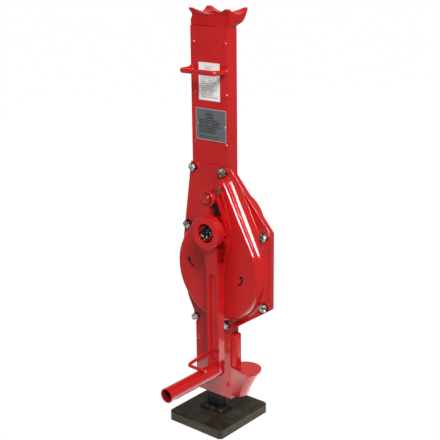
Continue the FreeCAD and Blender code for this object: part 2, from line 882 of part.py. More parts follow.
def rear_bearing(x, z, journal_radius):
    """Blind bush let into the back plate, with a flange on its outside."""
    depth_y = bar_half_depth + bearing_depth
    body = rod_y(x, z, journal_radius + bearing_wall, bar_half_depth, depth_y + bearing_end)
    flange = rod_y(
        x,
        z,
        journal_radius + bearing_wall + bearing_flange,
        back_y,
        back_y + bearing_flange_thick,
    )
    bore = rod_y(x, z, journal_radius + running_clearance, bar_half_depth - overshoot, depth_y)
    return body.fuse(flange).removeSplitter().cut(bore)


def main_front_bearing():
    front = dome_inner_y
    back = web_front_y - retaining_ring_thick - cheek_running_gap
    body = rod_y(main_axis_x, main_axis_z, main_nose_radius + bearing_wall, front, back)
    return body.cut(rod_y(main_axis_x, main_axis_z, main_nose_radius + running_clearance, front, back))


def crank_front_bearing():
    outer = crank_nose_radius + bearing_wall
    body = rod_y(crank_axis_x, crank_axis_z, outer, dome_front_y, dome_inner_y)
    flange = rod_y(crank_axis_x, crank_axis_z, outer + bearing_flange, crank_bush_front_y, dome_front_y)
    bore = rod_y(
        crank_axis_x,
        crank_axis_z,
        crank_nose_radius + running_clearance,
        crank_bush_front_y - overshoot,
        dome_inner_y + overshoot,
    )
    return body.fuse(flange).removeSplitter().cut(bore)


def key_block(clearance):
    """Parallel key on top of the main shaft's gear seat."""
    mid_z = main_axis_z + main_seat_radius
    return block(
        main_axis_x - key_width / 2 - clearance,
        main_axis_x + key_width / 2 + clearance,
        web_front_y,
        gear_back_y,
        mid_z - key_height / 2 - clearance,
        mid_z + key_height / 2 + clearance,
    )


def pinion_shaft():
    """Main shaft forged in one with the rack pinion."""
    half_rack = rack_thick / 2
    teeth = gear(
        rack_module,
        rack_pinion_teeth,
        rack_pinion_shift,
        main_axis_x,
        main_axis_z,
        math.pi,
        -half_rack,
        half_rack,
    )
    rear_end = bar_half_depth + bearing_depth - cheek_running_gap
    front_end = dome_inner_y + cheek_running_gap
    steps = [
        rod_y(main_axis_x, main_axis_z, main_journal_radius, half_rack, rear_end),
        rod_y(main_axis_x, main_axis_z, main_neck_radius, gear_back_y, -half_rack),
        rod_y(main_axis_x, main_axis_z, main_seat_radius, web_front_y, gear_back_y),
        rod_y(main_axis_x, main_axis_z, main_nose_radius, front_end, web_front_y),
    ]
    return teeth.fuse(steps).removeSplitter().cut(key_block(seat_gap))


def main_gear():
    """Large spur gear with a thin web between its rim and its hub."""
    blank = gear(
        gear_module,
        main_gear_teeth,
        -crank_pinion_shift,
        main_axis_x,
        main_axis_z,
        mesh_direction + math.pi / main_gear_teeth,
        gear_front_y,
        gear_back_y,
    )
    tool_front_y = gear_front_y - overshoot
    tool_back_y = gear_back_y + overshoot
    dish = rod_y(main_axis_x, main_axis_z, gear_rim_inner_radius, tool_front_y, web_front_y)
    seat = rod_y(main_axis_x, main_axis_z, main_seat_radius + seat_gap, tool_front_y, tool_back_y)
    ring_radius = (gear_hub_radius + gear_rim_inner_radius) / 2
    hole_radius = (gear_rim_inner_radius - gear_hub_radius) / 2 - gear_hole_margin
    holes = []
    for k in range(gear_hole_count):
        angle = 2 * math.pi * k / gear_hole_count
        x = main_axis_x + ring_radius * math.cos(angle)
        z = main_axis_z + ring_radius * math.sin(angle)
        holes.append(rod_y(x, z, hole_radius, tool_front_y, tool_back_y))
    return blank.cut([dish, seat, key_block(seat_gap)] + holes)


def gear_retaining_ring():
    y0 = web_front_y - retaining_ring_thick
    ring = rod_y(main_axis_x, main_axis_z, main_nose_radius + bearing_wall, y0, web_front_y)
    return ring.cut(rod_y(main_axis_x, main_axis_z, main_nose_radius + seat_gap, y0, web_front_y))


def crank_shaft():
    """Crank shaft forged in one with its pinion; the front end is turned down for the nut."""
    pinion_front = gear_front_y - pinion_overlap
    pinion_back = gear_back_y + pinion_overlap
    teeth = gear(
        gear_module,
        crank_pinion_teeth,
        crank_pinion_shift,
        crank_axis_x,
        crank_axis_z,
        mesh_direction + math.pi,
        pinion_front,
        pinion_back,
    )
    rear_end = bar_half_depth + bearing_depth - cheek_running_gap
    thread_end = recess_floor_y - crank_thread_length
    steps = [
        rod_y(crank_axis_x, crank_axis_z, crank_journal_radius, pinion_back, rear_end),
        rod_y(crank_axis_x, crank_axis_z, crank_nose_radius, recess_floor_y, pinion_front),
        rod_y(crank_axis_x, crank_axis_z, crank_thread_radius, thread_end, recess_floor_y),
    ]
    return teeth.fuse(steps).removeSplitter().cut(cotter_rod(cotter_radius + seat_gap))


def cotter_rod(radius):
    """Pin across the nut's slots and through the shaft's end."""
    mid_y = recess_floor_y - crank_nut_height + nut_slot_depth / 2
    reach = nut_flats / 2 + cotter_overhang
    start = vec(crank_axis_x - reach, mid_y, crank_axis_z)
    return Part.makeCylinder(radius, 2 * reach, start, vec(1, 0, 0))


def crank_nut():
    """Castle nut: hexagon with six slots for the cotter pin."""
    front = recess_floor_y - crank_nut_height
    body = hex_y(crank_axis_x, crank_axis_z, nut_flats, front, recess_floor_y)
    bore_radius = crank_thread_radius + seat_gap
    tool_front_y = front - overshoot
    bore = rod_y(crank_axis_x, crank_axis_z, bore_radius, tool_front_y, recess_floor_y + overshoot)
    slots = []
    for k in range(3):
        slot_back_y = front + nut_slot_depth
        slot = block(-nut_flats, nut_flats, tool_front_y, slot_back_y, -nut_slot / 2, nut_slot / 2)
        slot.rotate(vec(0, 0, 0), vec(0, 1, 0), 60.0 * k)
        slot.translate(vec(crank_axis_x, 0, crank_axis_z))
        slots.append(slot)
    return body.cut([bore] + slots)


def crank_ring(radius, y0, y1):
    ring = rod_y(crank_axis_x, crank_axis_z, radius, y0, y1)
    bore_radius = crank_nose_radius + seat_gap
    return ring.cut(rod_y(crank_axis_x, crank_axis_z, bore_radius, y0 - overshoot, y1 + overshoot))


def ratchet_wheel():
    """Saw-toothed wheel; each tooth has a radial face turned towards the pawl."""
    outline = []
    step = 2 * math.pi / ratchet_teeth
    for k in range(ratchet_teeth):
        angle = ratchet_engage_angle - step * k
        for radius in (ratchet_root_radius, ratchet_tip_radius):
            x = crank_axis_x + radius * math.cos(angle)
            z = crank_axis_z + radius * math.sin(angle)
            outline.append((x, z))
    wheel = prism_y(outline, ratchet_front_y, ratchet_back_y)
    return wheel.common(crank_ring(ratchet_tip_radius, ratchet_front_y, ratchet_back_y))


def pawl():
    """Two-armed pawl: the nose rests in a ratchet tooth and the tail is the thumb piece."""
    across = vec(-math.sin(ratchet_engage_angle), 0, math.cos(ratchet_engage_angle))
    radial = vec(math.cos(ratchet_engage_angle), 0, math.sin(ratchet_engage_angle))
    tooth_step = 2 * math.pi / ratchet_teeth
    next_tip_angle = ratchet_engage_angle + tooth_step
    next_tip = vec(math.cos(next_tip_angle), 0, math.sin(next_tip_angle)) * ratchet_tip_radius
    nose_in = radial * (ratchet_root_radius + 2 * pawl_gap) + across * pawl_gap
    nose_out = radial * (ratchet_tip_radius + pawl_nose_over) + across * pawl_gap
    belly = next_tip + radial * (2 * pawl_gap)
    back = nose_out + across * pawl_blade + radial * pawl_blade_rise
    hub = vec(pawl_pin_x, 0, pawl_pin_z)
    hub_side = vec(math.cos(pawl_hub_turn), 0, math.sin(pawl_hub_turn)) * pawl_hub_radius
    corners = [nose_in, nose_out, back, hub + hub_side, hub - hub_side, belly]
    outline = [(crank_axis_x + point.x, crank_axis_z + point.z) for point in corners]
    blade = prism_y(outline, ratchet_front_y, ratchet_back_y)
    hub_x = crank_axis_x + pawl_pin_x
    hub_z = crank_axis_z + pawl_pin_z
    tail = hull_prism(
        (hub_x, hub_z),
        pawl_hub_radius,
        (hub_x + pawl_tail_x, hub_z + pawl_tail_z),
        pawl_tail_radius,
        ratchet_front_y,
        ratchet_back_y,
    )
    bore_radius = pawl_pin_radius + running_clearance
    bore = rod_y(hub_x, hub_z, bore_radius, ratchet_front_y - overshoot, ratchet_back_y + overshoot)
    return blade.fuse(tail).removeSplitter().cut(bore)


def pawl_pin():
    x = crank_axis_x + pawl_pin_x
    z = crank_axis_z + pawl_pin_z
    shank = rod_y(x, z, pawl_pin_radius, front_cheek_front_y, rear_cheek_back_y)
    head_front_y = front_cheek_front_y - pawl_pin_head
    head = rod_y(x, z, pawl_pin_head_radius, head_front_y, front_cheek_front_y)
    rim = edges_where(head, lambda box: box.YMax < head_front_y + pick_tolerance)
    head = head.makeFillet(pawl_pin_head / 2, rim)
    return shank.fuse(head).removeSplitter()


def pin_spacer(y0, y1):
    """Washer on the pawl pin that keeps the pawl in line with the ratchet."""
    x = crank_axis_x + pawl_pin_x
    z = crank_axis_z + pawl_pin_z
    ring = rod_y(x, z, pawl_hub_radius - pawl_spacer_inset, y0, y1)
    return ring.cut(rod_y(x, z, pawl_pin_radius + seat_gap, y0 - overshoot, y1 + overshoot))


def side_prism(profile):
    """Closed outline of (y, z) points measured from the crank axis, pulled along X through the crank."""
    reach = 2 * crank_eye_radius
    points = [vec(crank_axis_x - reach, y, crank_axis_z + z) for y, z in profile]
    return Part.Face(Part.makePolygon(points + points[:1])).extrude(vec(2 * reach, 0, 0))


def crank_arm():
    """Drop-forged crank: a straight front leg and a tapering rear leg carry the eyes and the pawl
    lugs, and close into a grooved arm."""
    reach_up = pawl_pin_z + lug_radius + overshoot
    reach_down = crank_radius + crank_arm_width
    front_side = [
        (front_cheek_front_y, reach_up),
        (front_cheek_front_y, -crank_fork_bend),
        (arm_front_y, -crank_fork_depth),
        (arm_front_y, -reach_down),
        (arm_back_y, -reach_down),
        (arm_back_y, -crank_fork_depth),
        (arm_mid_y, -crank_fork_depth),
        (front_cheek_back_y + crank_fork_web, -crank_fork_floor - crank_fork_web / 2),
        (front_cheek_back_y, -crank_fork_floor),
        (front_cheek_back_y, reach_up),
    ]
    rear_side = [
        (rear_cheek_back_y, reach_up),
        (rear_cheek_back_y, -crank_fork_bend),
        (arm_back_y, -crank_fork_depth - crank_groove_depth),
        (arm_mid_y, -crank_fork_depth - crank_groove_depth),
        (arm_mid_y, -crank_fork_depth),
        (rear_cheek_front_y, -crank_fork_bend),
        (rear_cheek_front_y, reach_up),
    ]
    eye = (crank_axis_x, crank_axis_z)
    lug = (crank_axis_x + pawl_pin_x, crank_axis_z + pawl_pin_z)
    waist = (crank_axis_x, crank_axis_z - crank_fork_depth)
    half_arm = crank_arm_width / 2
    front_limit = front_cheek_front_y
    back_limit = rear_cheek_back_y
    head = hull_prism(eye, crank_eye_radius, lug, lug_radius, front_limit, back_limit)
    shank = block(
        crank_axis_x - half_arm,
        crank_axis_x + half_arm,
        front_limit,
        back_limit,
        grip_z,
        crank_axis_z,
    )
    end = rod_y(crank_axis_x, grip_z, half_arm, front_limit, back_limit)
    taper = hull_prism(eye, crank_eye_radius, waist, half_arm, front_limit, back_limit)
    front_leg = side_prism(front_side).common(head.fuse([shank, end]).removeSplitter())
    rear_leg = side_prism(rear_side).common(head.fuse([taper, shank]).removeSplitter())
    boss = rod_y(*eye, crank_boss_radius, boss_front_y, front_cheek_back_y)
    forging = front_leg.fuse([rear_leg, boss]).removeSplitter()
    half_groove = crank_groove_width / 2
    groove_top = (crank_axis_x, crank_axis_z - crank_fork_depth - half_groove)
    groove_low = (crank_axis_x, grip_z + grip_outer_radius + crank_groove_width)
    groove = hull_prism(
        groove_top,
        half_groove,
        groove_low,
        half_groove,
        arm_front_y - overshoot,
        arm_front_y + crank_groove_depth,
    )
    recess_radius = nut_flats / math.sqrt(3) + nut_recess_gap
    bores = [
        rod_y(*eye, crank_nose_radius + seat_gap, boss_front_y - overshoot, back_limit + overshoot),
        rod_y(*eye, recess_radius, boss_front_y - overshoot, recess_floor_y),
        rod_y(*lug, pawl_pin_radius + seat_gap, front_limit - overshoot, back_limit + overshoot),
    ]
    return forging.cut([groove] + bores)


def crank_grip():
    grip_front_y = arm_front_y - grip_length
    tube = rod_y(crank_axis_x, grip_z, grip_outer_radius, grip_front_y, arm_front_y)
    bore_radius = grip_outer_radius - grip_wall
    return tube.cut(rod_y(crank_axis_x, grip_z, bore_radius, grip_front_y - overshoot, arm_front_y))


def crank_hook():
    """Bent wire loop between the arm's left side and the top of the grip."""
    left_x = crank_axis_x - crank_arm_width / 2
    rest_z = grip_z + grip_outer_radius + hook_wire_radius + slide_clearance
    root_z = rest_z + hook_rise
    tip_y = arm_mid_y - hook_reach
    points = [
        vec(left_x, arm_mid_y, root_z),
        vec(left_x - hook_stub, arm_mid_y, root_z),
        vec(left_x - hook_overhang, tip_y, rest_z),
        vec(crank_axis_x + grip_outer_radius, tip_y, rest_z),
    ]
    return bent_rod(points, hook_bend_radius, hook_wire_radius)


gap_low_z, gap_high_z = case_gap()
shoe_low_z = column_bottom_z + shoe_inset
left_shoe = (-bar_inner_x, rack_left_x - slide_clearance)
right_shoe = (rack_tip_x + slide_clearance, bar_inner_x)
spacer_front = (front_cheek_back_y, ratchet_front_y)
spacer_rear = (ratchet_back_y, rear_cheek_front_y)

save("foot_plate", foot_plate())
save("foot_collar", foot_collar())
save("rack", rack())
save("front_plate", front_plate())
save("back_plate", back_plate())
save("left_bar", side_bar(-half_width, -bar_inner_x, column_bottom_z, column_top_z))
save("right_bar_upper", side_bar(bar_inner_x, half_width, gap_high_z, column_top_z))
save("right_bar_lower", side_bar(bar_inner_x, half_width, column_bottom_z, gap_low_z))
save("case_rim", case_rim())
save("left_shoe_lower", guide_shoe(*left_shoe, shoe_low_z))
save("right_shoe_lower", guide_shoe(*right_shoe, shoe_low_z))
save("left_shoe_upper", guide_shoe(*left_shoe, main_axis_z - shoe_length / 2))
save("crown", crown())
save("toe_claw", toe_claw())
save("carry_handle", carry_handle())
save("rating_plate", rating_plate())
save("paper_label", paper_label())
save("plate_pins", plate_pins())
save("column_rivets", column_rivets())
save("gear_cover", gear_cover())
save("cover_bolts", cover_bolts())
save("cover_nuts", cover_nuts())
save("main_rear_bearing", rear_bearing(main_axis_x, main_axis_z, main_journal_radius))
save("main_front_bearing", main_front_bearing())
save("crank_rear_bearing", rear_bearing(crank_axis_x, crank_axis_z, crank_journal_radius))
save("crank_front_bearing", crank_front_bearing())
save("pinion_shaft", pinion_shaft())
save("main_gear", main_gear())
save("gear_key", key_block(0))
save("gear_retaining_ring", gear_retaining_ring())
save("crank_shaft", crank_shaft())
save("rear_brake_disc", crank_ring(brake_disc_radius, ratchet_back_y, rear_cheek_front_y))
save("ratchet_wheel", ratchet_wheel())
save("front_brake_disc", crank_ring(brake_disc_radius, collar_back_y, ratchet_front_y))
save("thrust_collar", crank_ring(thrust_collar_radius, front_cheek_back_y, collar_back_y))
save("crank_arm", crank_arm())
save("crank_grip", crank_grip())
save("crank_hook", crank_hook())
save("crank_nut", crank_nut())
save("cotter_pin", cotter_rod(cotter_radius))
save("pawl_pin", pawl_pin())
save("pawl_spacer_front", pin_spacer(*spacer_front))
save("pawl_spacer_rear", pin_spacer(*spacer_rear))
save("pawl", pawl())
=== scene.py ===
import math

import bmesh
import bpy
from mathutils import Matrix, Vector


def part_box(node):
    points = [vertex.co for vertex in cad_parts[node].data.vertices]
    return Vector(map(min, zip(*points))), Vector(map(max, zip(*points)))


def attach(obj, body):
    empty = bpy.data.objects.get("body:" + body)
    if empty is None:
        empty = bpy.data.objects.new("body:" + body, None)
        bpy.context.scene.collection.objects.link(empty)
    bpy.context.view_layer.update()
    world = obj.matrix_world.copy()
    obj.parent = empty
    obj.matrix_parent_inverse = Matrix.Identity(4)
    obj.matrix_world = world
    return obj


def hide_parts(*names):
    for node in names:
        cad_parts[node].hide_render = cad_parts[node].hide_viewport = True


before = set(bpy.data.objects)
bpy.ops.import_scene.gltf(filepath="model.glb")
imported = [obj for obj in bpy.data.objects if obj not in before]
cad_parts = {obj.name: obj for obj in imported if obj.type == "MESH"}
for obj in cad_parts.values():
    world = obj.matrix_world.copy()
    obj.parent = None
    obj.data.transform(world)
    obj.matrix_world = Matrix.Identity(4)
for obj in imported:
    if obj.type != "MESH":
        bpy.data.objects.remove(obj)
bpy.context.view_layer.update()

# Camera, at the photograph's place: a long lens in front of the jack's right side, looking a little
# down. The frame is square, so the lens is the fitted focal length on a full sensor.
camera_place = Vector((1.02045, -1.19276, 0.84995))
camera_yaw = math.radians(40.29)
camera_dip = math.radians(16.88)
camera_roll = math.radians(-0.68)

forward = Vector((
    -math.sin(camera_yaw) * math.cos(camera_dip),
    math.cos(camera_yaw) * math.cos(camera_dip),
    -math.sin(camera_dip),
))
level = Vector((math.cos(camera_yaw), math.sin(camera_yaw), 0.0))
upright = level.cross(forward)
right_hand = level * math.cos(camera_roll) + upright * math.sin(camera_roll)
head_up = upright * math.cos(camera_roll) - level * math.sin(camera_roll)
camera_data = bpy.data.cameras.new("camera")
camera_data.lens = 78.39
camera_data.sensor_width = 36.0
camera = bpy.data.objects.new("camera", camera_data)
camera.matrix_world = Matrix((
    (right_hand.x, head_up.x, -forward.x, camera_place.x),
    (right_hand.y, head_up.y, -forward.y, camera_place.y),
    (right_hand.z, head_up.z, -forward.z, camera_place.z),
    (0.0, 0.0, 0.0, 1.0),
))
bpy.context.scene.collection.objects.link(camera)
bpy.context.scene.camera = camera
bpy.context.scene.view_settings.view_transform = "Standard"


# Studio: white paper below and all round, a high soft box in front and one behind for the shading, and
# lamps that only show as gloss: a long banner for the streaks on the cover, a ceiling panel for the
# glints on edges, and the bright sheet of paper that the jack stands on.
class Field:
    """A socket in a node tree. Arithmetic on it adds Math nodes, and add() brings any other node."""

    def __init__(self, tree, socket):
        self.tree = tree
        self.socket = socket

    def add(self, kind, settings=None, inputs=None, output=0):
        node = self.tree.nodes.new(kind)
        for name, value in (settings or {}).items():
            setattr(node, name, value)
        for name, value in (inputs or {}).items():
            for part in value if isinstance(value, list) else [value]:
                if isinstance(part, Field):
                    self.tree.links.new(part.socket, node.inputs[name])
                else:
                    node.inputs[name].default_value = part
        return Field(self.tree, node.outputs[output])

    def feed(self, socket):
        self.tree.links.new(self.socket, socket)

    def math(self, operation, *others):
        inputs = {0: self}
        inputs.update({k + 1: other for k, other in enumerate(others)})
        return self.add("ShaderNodeMath", {"operation": operation}, inputs)

    def __add__(self, other):
        return self.math("ADD", other)

    __radd__ = __add__

    def __sub__(self, other):
        return self.math("SUBTRACT", other)

    def __rsub__(self, other):
        return self.add("ShaderNodeMath", {"operation": "SUBTRACT"}, {0: other, 1: self})

    def __mul__(self, other):
        return self.math("MULTIPLY", other)

    __rmul__ = __mul__

    def __truediv__(self, other):
        return self.math("DIVIDE", other)

    def __rtruediv__(self, other):
        return self.add("ShaderNodeMath", {"operation": "DIVIDE"}, {0: other, 1: self})

    def __gt__(self, other):
        return self.math("GREATER_THAN", other)

    def __lt__(self, other):
        return self.math("LESS_THAN", other)

    def smooth(self, low, high):
        """0 below low, 1 above high, with a soft step between."""
        return self.add(
            "ShaderNodeMapRange",
            {"interpolation_type": "SMOOTHSTEP"},
            {"Value": self, "From Min": low, "From Max": high},
        )

    def mix_to(self, other, share):
        """This colour turned towards another by a share."""
        node = self.tree.nodes.new("ShaderNodeMix")
        node.data_type = "RGBA"
        colours = [socket for socket in node.inputs if socket.type == "RGBA"]
        for socket, value in ((node.inputs[0], share), (colours[0], self), (colours[1], other)):
            if isinstance(value, Field):
                self.tree.links.new(value.socket, socket)
            else:
                socket.default_value = value
        result = [socket for socket in node.outputs if socket.type == "RGBA"]
        return Field(self.tree, result[0])

    def colour(self, first, second):
        """A colour from first to second, with this value as the share."""
        start = self.add("ShaderNodeRGB")
        start.socket.default_value = first
        return start.mix_to(second, self)

    def axes(self):
        split = self.tree.nodes.new("ShaderNodeSeparateXYZ")
        self.tree.links.new(self.socket, split.inputs[0])
        return [Field(self.tree, output) for output in split.outputs]


def seen_directly(tree):
    """1 for rays from the camera and through glass, and a good half for what gloss shows."""
    gloss_share = 0.55
    ray = tree.nodes.new("ShaderNodeLightPath")
    camera_ray, gloss, glass = [
        Field(tree, ray.outputs[name]) for name in ("Is Camera Ray", "Is Glossy Ray", "Is Transmission Ray")]
    return camera_ray.math("MAXIMUM", gloss * gloss_share).math("MAXIMUM", glass)


pure_white = (1.0, 1.0, 1.0, 1.0)
world_light = 0.20
world = bpy.data.worlds.new("studio")
bpy.context.scene.world = world
world.use_nodes = True
world.node_tree.nodes.clear()
sky_seen = seen_directly(world.node_tree)
around = sky_seen.add("ShaderNodeBackground", None, {
    "Color": pure_white,
    "Strength": sky_seen * (1.0 - world_light) + world_light,
})
around.feed(world.node_tree.nodes.new("ShaderNodeOutputWorld").inputs["Surface"])

floor_half = 14.0
floor_drop = 0.0005
paper_grey = (0.55, 0.55, 0.55, 1.0)
white_share = 0.985
white_strength = 1.012
floor_mesh = bpy.data.meshes.new("floor")
floor_mesh.from_pydata(
    [(x * floor_half, y * floor_half, -floor_drop) for x, y in ((-1, -1), (1, -1), (1, 1), (-1, 1))],
    [],
    [(0, 1, 2, 3)],
)
floor = bpy.data.objects.new("floor", floor_mesh)
bpy.context.scene.collection.objects.link(floor)
floor_paper = bpy.data.materials.new("floor_paper")
floor_paper.use_nodes = True
floor_tree = floor_paper.node_tree
floor_tree.nodes.clear()
floor_seen = seen_directly(floor_tree)
paper = floor_seen.add("ShaderNodeBsdfDiffuse", None, {"Color": paper_grey})
white = floor_seen.add("ShaderNodeEmission", None, {"Color": pure_white, "Strength": white_strength})
floor_look = floor_seen.add("ShaderNodeMixShader", None, {0: floor_seen * white_share, 1: paper, 2: white})
floor_look.feed(floor_tree.nodes.new("ShaderNodeOutputMaterial").inputs["Surface"])
floor_mesh.materials.append(floor_paper)


def soft_box(name, place, target, width, height, power, gloss):
    """Rectangular lamp that looks at a point of the jack. It shows as gloss, or it shades."""
    data = bpy.data.lights.new(name, "AREA")
    data.shape = "RECTANGLE"
    data.size = width
    data.size_y = height
    data.energy = power
    lamp = bpy.data.objects.new(name, data)
    lamp.location = place
    aim = Vector(target) - Vector(place)
    lamp.rotation_euler = aim.to_track_quat("-Z", "Y").to_euler()
    lamp.visible_camera = False
    lamp.visible_glossy = gloss
    lamp.visible_diffuse = not gloss
    bpy.context.scene.collection.objects.link(lamp)
    return lamp


jack_middle = (0.03, 0.0, 0.36)
cover_flank = (0.09, -0.03, 0.39)
sheet_middle = (0.062, 0.0, 0.0)
above_sheet = (0.062, 0.0, 1.0)
soft_box("key_box", (1.42, -1.20, 2.05), jack_middle, 0.7, 0.7, power=66.0, gloss=False)
soft_box("rear_box", (-1.50, 1.70, 2.00), jack_middle, 1.2, 1.2, power=42.0, gloss=False)
ceiling = soft_box("ceiling", (0.99, -1.10, 1.72), jack_middle, 1.2, 1.2, power=130.0, gloss=True)
banner = soft_box("banner", (1.82, -1.35, 1.40), cover_flank, 1.5, 0.45, power=200.0, gloss=True)
soft_box("bright_sheet", sheet_middle, above_sheet, 0.48, 0.48, power=2.4, gloss=True)


# Foot plate: a square of thick steel plate, flame cut, with its corners and edges broken. It is only
# oiled, so mill scale and a breath of rust leave it in dark brown patches.
def new_finish(name):
    """A material with its shader, and the piece's own coordinates in metres."""
    material = bpy.data.materials.new(name)
    material.use_nodes = True
    tree = material.node_tree
    place = Field(tree, tree.nodes.new("ShaderNodeTexCoord").outputs["Object"])
    return material, tree.nodes["Principled BSDF"], place


def noise(place, scale, detail=3.0, roughness=0.55):
    return place.add(
        "ShaderNodeTexNoise",
        {"noise_dimensions": "3D"},
        {"Vector": place, "Scale": scale, "Detail": detail, "Roughness": roughness},
    )


def bump(height, strength, distance):
    return height.add(
        "ShaderNodeBump", None, {"Height": height, "Strength": strength, "Distance": distance})


def dress(material, *names):
    """Gives CAD pieces a finish."""
    for name in names:
        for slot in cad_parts[name].material_slots:
            slot.material = material


def oiled_plate():
    scale_black = (0.0100, 0.0078, 0.0054, 1.0)
    rust_brown = (0.055, 0.043, 0.030, 1.0)
    material, shader, place = new_finish("oiled_plate")
    mill = noise(place, scale=55.0, detail=6.0, roughness=0.65)
    grain = noise(place, scale=420.0, detail=4.0)
    shade = mill * 0.7 + grain * 0.3
    shade.smooth(0.3, 0.72).colour(scale_black, rust_brown).feed(shader.inputs["Base Color"])
    (mill * 0.25 + 0.42).feed(shader.inputs["Roughness"])
    bump(shade, strength=0.35, distance=0.0008).feed(shader.inputs["Normal"])
    shader.inputs["Specular IOR Level"].default_value = 0.08
    return material


dress(oiled_plate(), "foot_plate")


# Rack: a square toothed bar, blackened and greased, welded upright on the foot plate. The weld runs
# round it as a lumpy black bead.
def black_steel(name, rough):
    scale_black = (0.004, 0.004, 0.004, 1.0)
    scale_grey = (0.016, 0.015, 0.014, 1.0)
    material, shader, place = new_finish(name)
    scale = noise(place, scale=90.0, detail=5.0)
    scale.smooth(0.35, 0.7).colour(scale_black, scale_grey).feed(shader.inputs["Base Color"])
    (scale * 0.25 + rough).feed(shader.inputs["Roughness"])
    bump(noise(place, scale=700.0), strength=0.2, distance=0.0004).feed(shader.inputs["Normal"])
    shader.inputs["Specular IOR Level"].default_value = 0.15
    return material


def new_tree(name, sizes, materials):
    """Geometry tree with named inputs, its inputs as fields, and the socket that ends it."""
    tree = bpy.data.node_groups.new(name, "GeometryNodeTree")
    tree.interface.new_socket("Geometry", in_out="INPUT", socket_type="NodeSocketGeometry")
    for label in sizes:
        tree.interface.new_socket(label, in_out="INPUT", socket_type="NodeSocketFloat")
    for label in materials:
        tree.interface.new_socket(label, in_out="INPUT", socket_type="NodeSocketMaterial")
    tree.interface.new_socket("Geometry", in_out="OUTPUT", socket_type="NodeSocketGeometry")
    entry = tree.nodes.new("NodeGroupInput")
    given = {socket.name: Field(tree, socket) for socket in entry.outputs if socket.name}
    return tree, given, tree.nodes.new("NodeGroupOutput").inputs[0]


def grown(name, tree, points, edges, values):
    """Runs a geometry tree on points and edges, and gives the result as a piece of plain mesh."""
    seed_mesh = bpy.data.meshes.new(name + "_path")
    seed_mesh.from_pydata(points, edges, [])
    holder = bpy.data.objects.new(name + "_path", seed_mesh)
    bpy.context.scene.collection.objects.link(holder)
    modifier = holder.modifiers.new("shape", "NODES")
    modifier.node_group = tree
    for item in tree.interface.items_tree:
        if item.in_out == "INPUT" and item.name in values:
            modifier[item.identifier] = values[item.name]
    held = holder.evaluated_get(bpy.context.evaluated_depsgraph_get())
    mesh = bpy.data.meshes.new_from_object(held)
    holder.modifiers.remove(modifier)
    bpy.data.objects.remove(holder)
    piece = bpy.data.objects.new(name, mesh)
    bpy.context.scene.collection.objects.link(piece)
    return piece


def weld_tree():
    """A bead along a path: a round core, and drops of uneven size set close along it."""
    smallest_drop, largest_drop = 0.7, 1.25
    most_turn = (6.28, 6.28, 6.28)
    tree, given, end = new_tree(
        "weld_bead", ["Core radius", "Drop radius", "Drop spacing"], ["Weld metal"])
    path = given["Geometry"].add("GeometryNodeMeshToCurve", None, {"Mesh": given["Geometry"]})
    drops_along = path.add(
        "GeometryNodeResampleCurve",
        {"mode": "LENGTH"},
        {"Curve": path, "Length": given["Drop spacing"]},
    )
    ring = path.add(
        "GeometryNodeCurvePrimitiveCircle", None, {"Resolution": 10, "Radius": given["Core radius"]})
    core = path.add("GeometryNodeCurveToMesh", None, {"Curve": drops_along, "Profile Curve": ring})
    drop = path.add(
        "GeometryNodeMeshIcoSphere", None, {"Radius": given["Drop radius"], "Subdivisions": 2})
    size = path.add(
        "FunctionNodeRandomValue",
        {"data_type": "FLOAT"},
        {2: smallest_drop, 3: largest_drop, "Seed": 4},
        output=1,
    )
    turn = path.add(
        "FunctionNodeRandomValue",
        {"data_type": "FLOAT_VECTOR"},
        {0: (0.0, 0.0, 0.0), 1: most_turn, "Seed": 9},
    )
    drops = path.add(
        "GeometryNodeInstanceOnPoints",
        None,
        {"Points": drops_along, "Instance": drop, "Rotation": turn, "Scale": size},
    )
    bead = path.add("GeometryNodeJoinGeometry", None, {"Geometry": [core, drops]})
    solid = path.add("GeometryNodeRealizeInstances", None, {"Geometry": bead})
    soft = path.add("GeometryNodeSetShadeSmooth", None, {"Geometry": solid})
    coated = path.add(
        "GeometryNodeSetMaterial", None, {"Geometry": soft, "Material": given["Weld metal"]})
    coated.feed(end)
    return tree


def closed_path(points):
    return points, [(k, (k + 1) % len(points)) for k in range(len(points))]


def shows_on(lamp, *pieces):
    """Keeps a lamp's gloss to some pieces, as a flag beside a real lamp does."""
    if lamp.light_linking.receiver_collection is None:
        lamp.light_linking.receiver_collection = bpy.data.collections.new(lamp.name + "_pieces")
    for piece in pieces:
        lamp.light_linking.receiver_collection.objects.link(piece)


weld_bead = weld_tree()
rack_low, rack_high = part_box("rack")
collar_low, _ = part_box("foot_collar")
weld_reach = 0.0045
weld_height = collar_low.z + 0.001
weld_loop = closed_path([
    (rack_low.x - weld_reach, rack_low.y - weld_reach, weld_height),
    (rack_high.x + weld_reach, rack_low.y - weld_reach, weld_height),
    (rack_high.x + weld_reach, rack_high.y + weld_reach, weld_height),
    (rack_low.x - weld_reach, rack_high.y + weld_reach, weld_height),
])
foot_weld = grown("foot_weld", weld_bead, *weld_loop, {
    "Core radius": 0.0050,
    "Drop radius": 0.0062,
    "Drop spacing": 0.0052,
    "Weld metal": black_steel("weld_black", rough=0.45),
})
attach(foot_weld, "base")
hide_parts("foot_collar")
shows_on(ceiling, foot_weld)
dress(black_steel("black_rack", rough=0.35), "rack")


# Column: steel plates and flat bars, plug welded and riveted into a box, sprayed in glossy red enamel
# together with everything that is fixed to it.
enamel_deep = (0.48, 0.0085, 0.0090, 1.0)
enamel_bright = (0.54, 0.0105, 0.0110, 1.0)


def from_axis(place, x, z):
    """Distance from an axis that runs from front to back through x and z."""
    across, _, up = place.axes()
    off_x = across - x
    off_z = up - z
    return (off_x * off_x + off_z * off_z).math("SQRT")


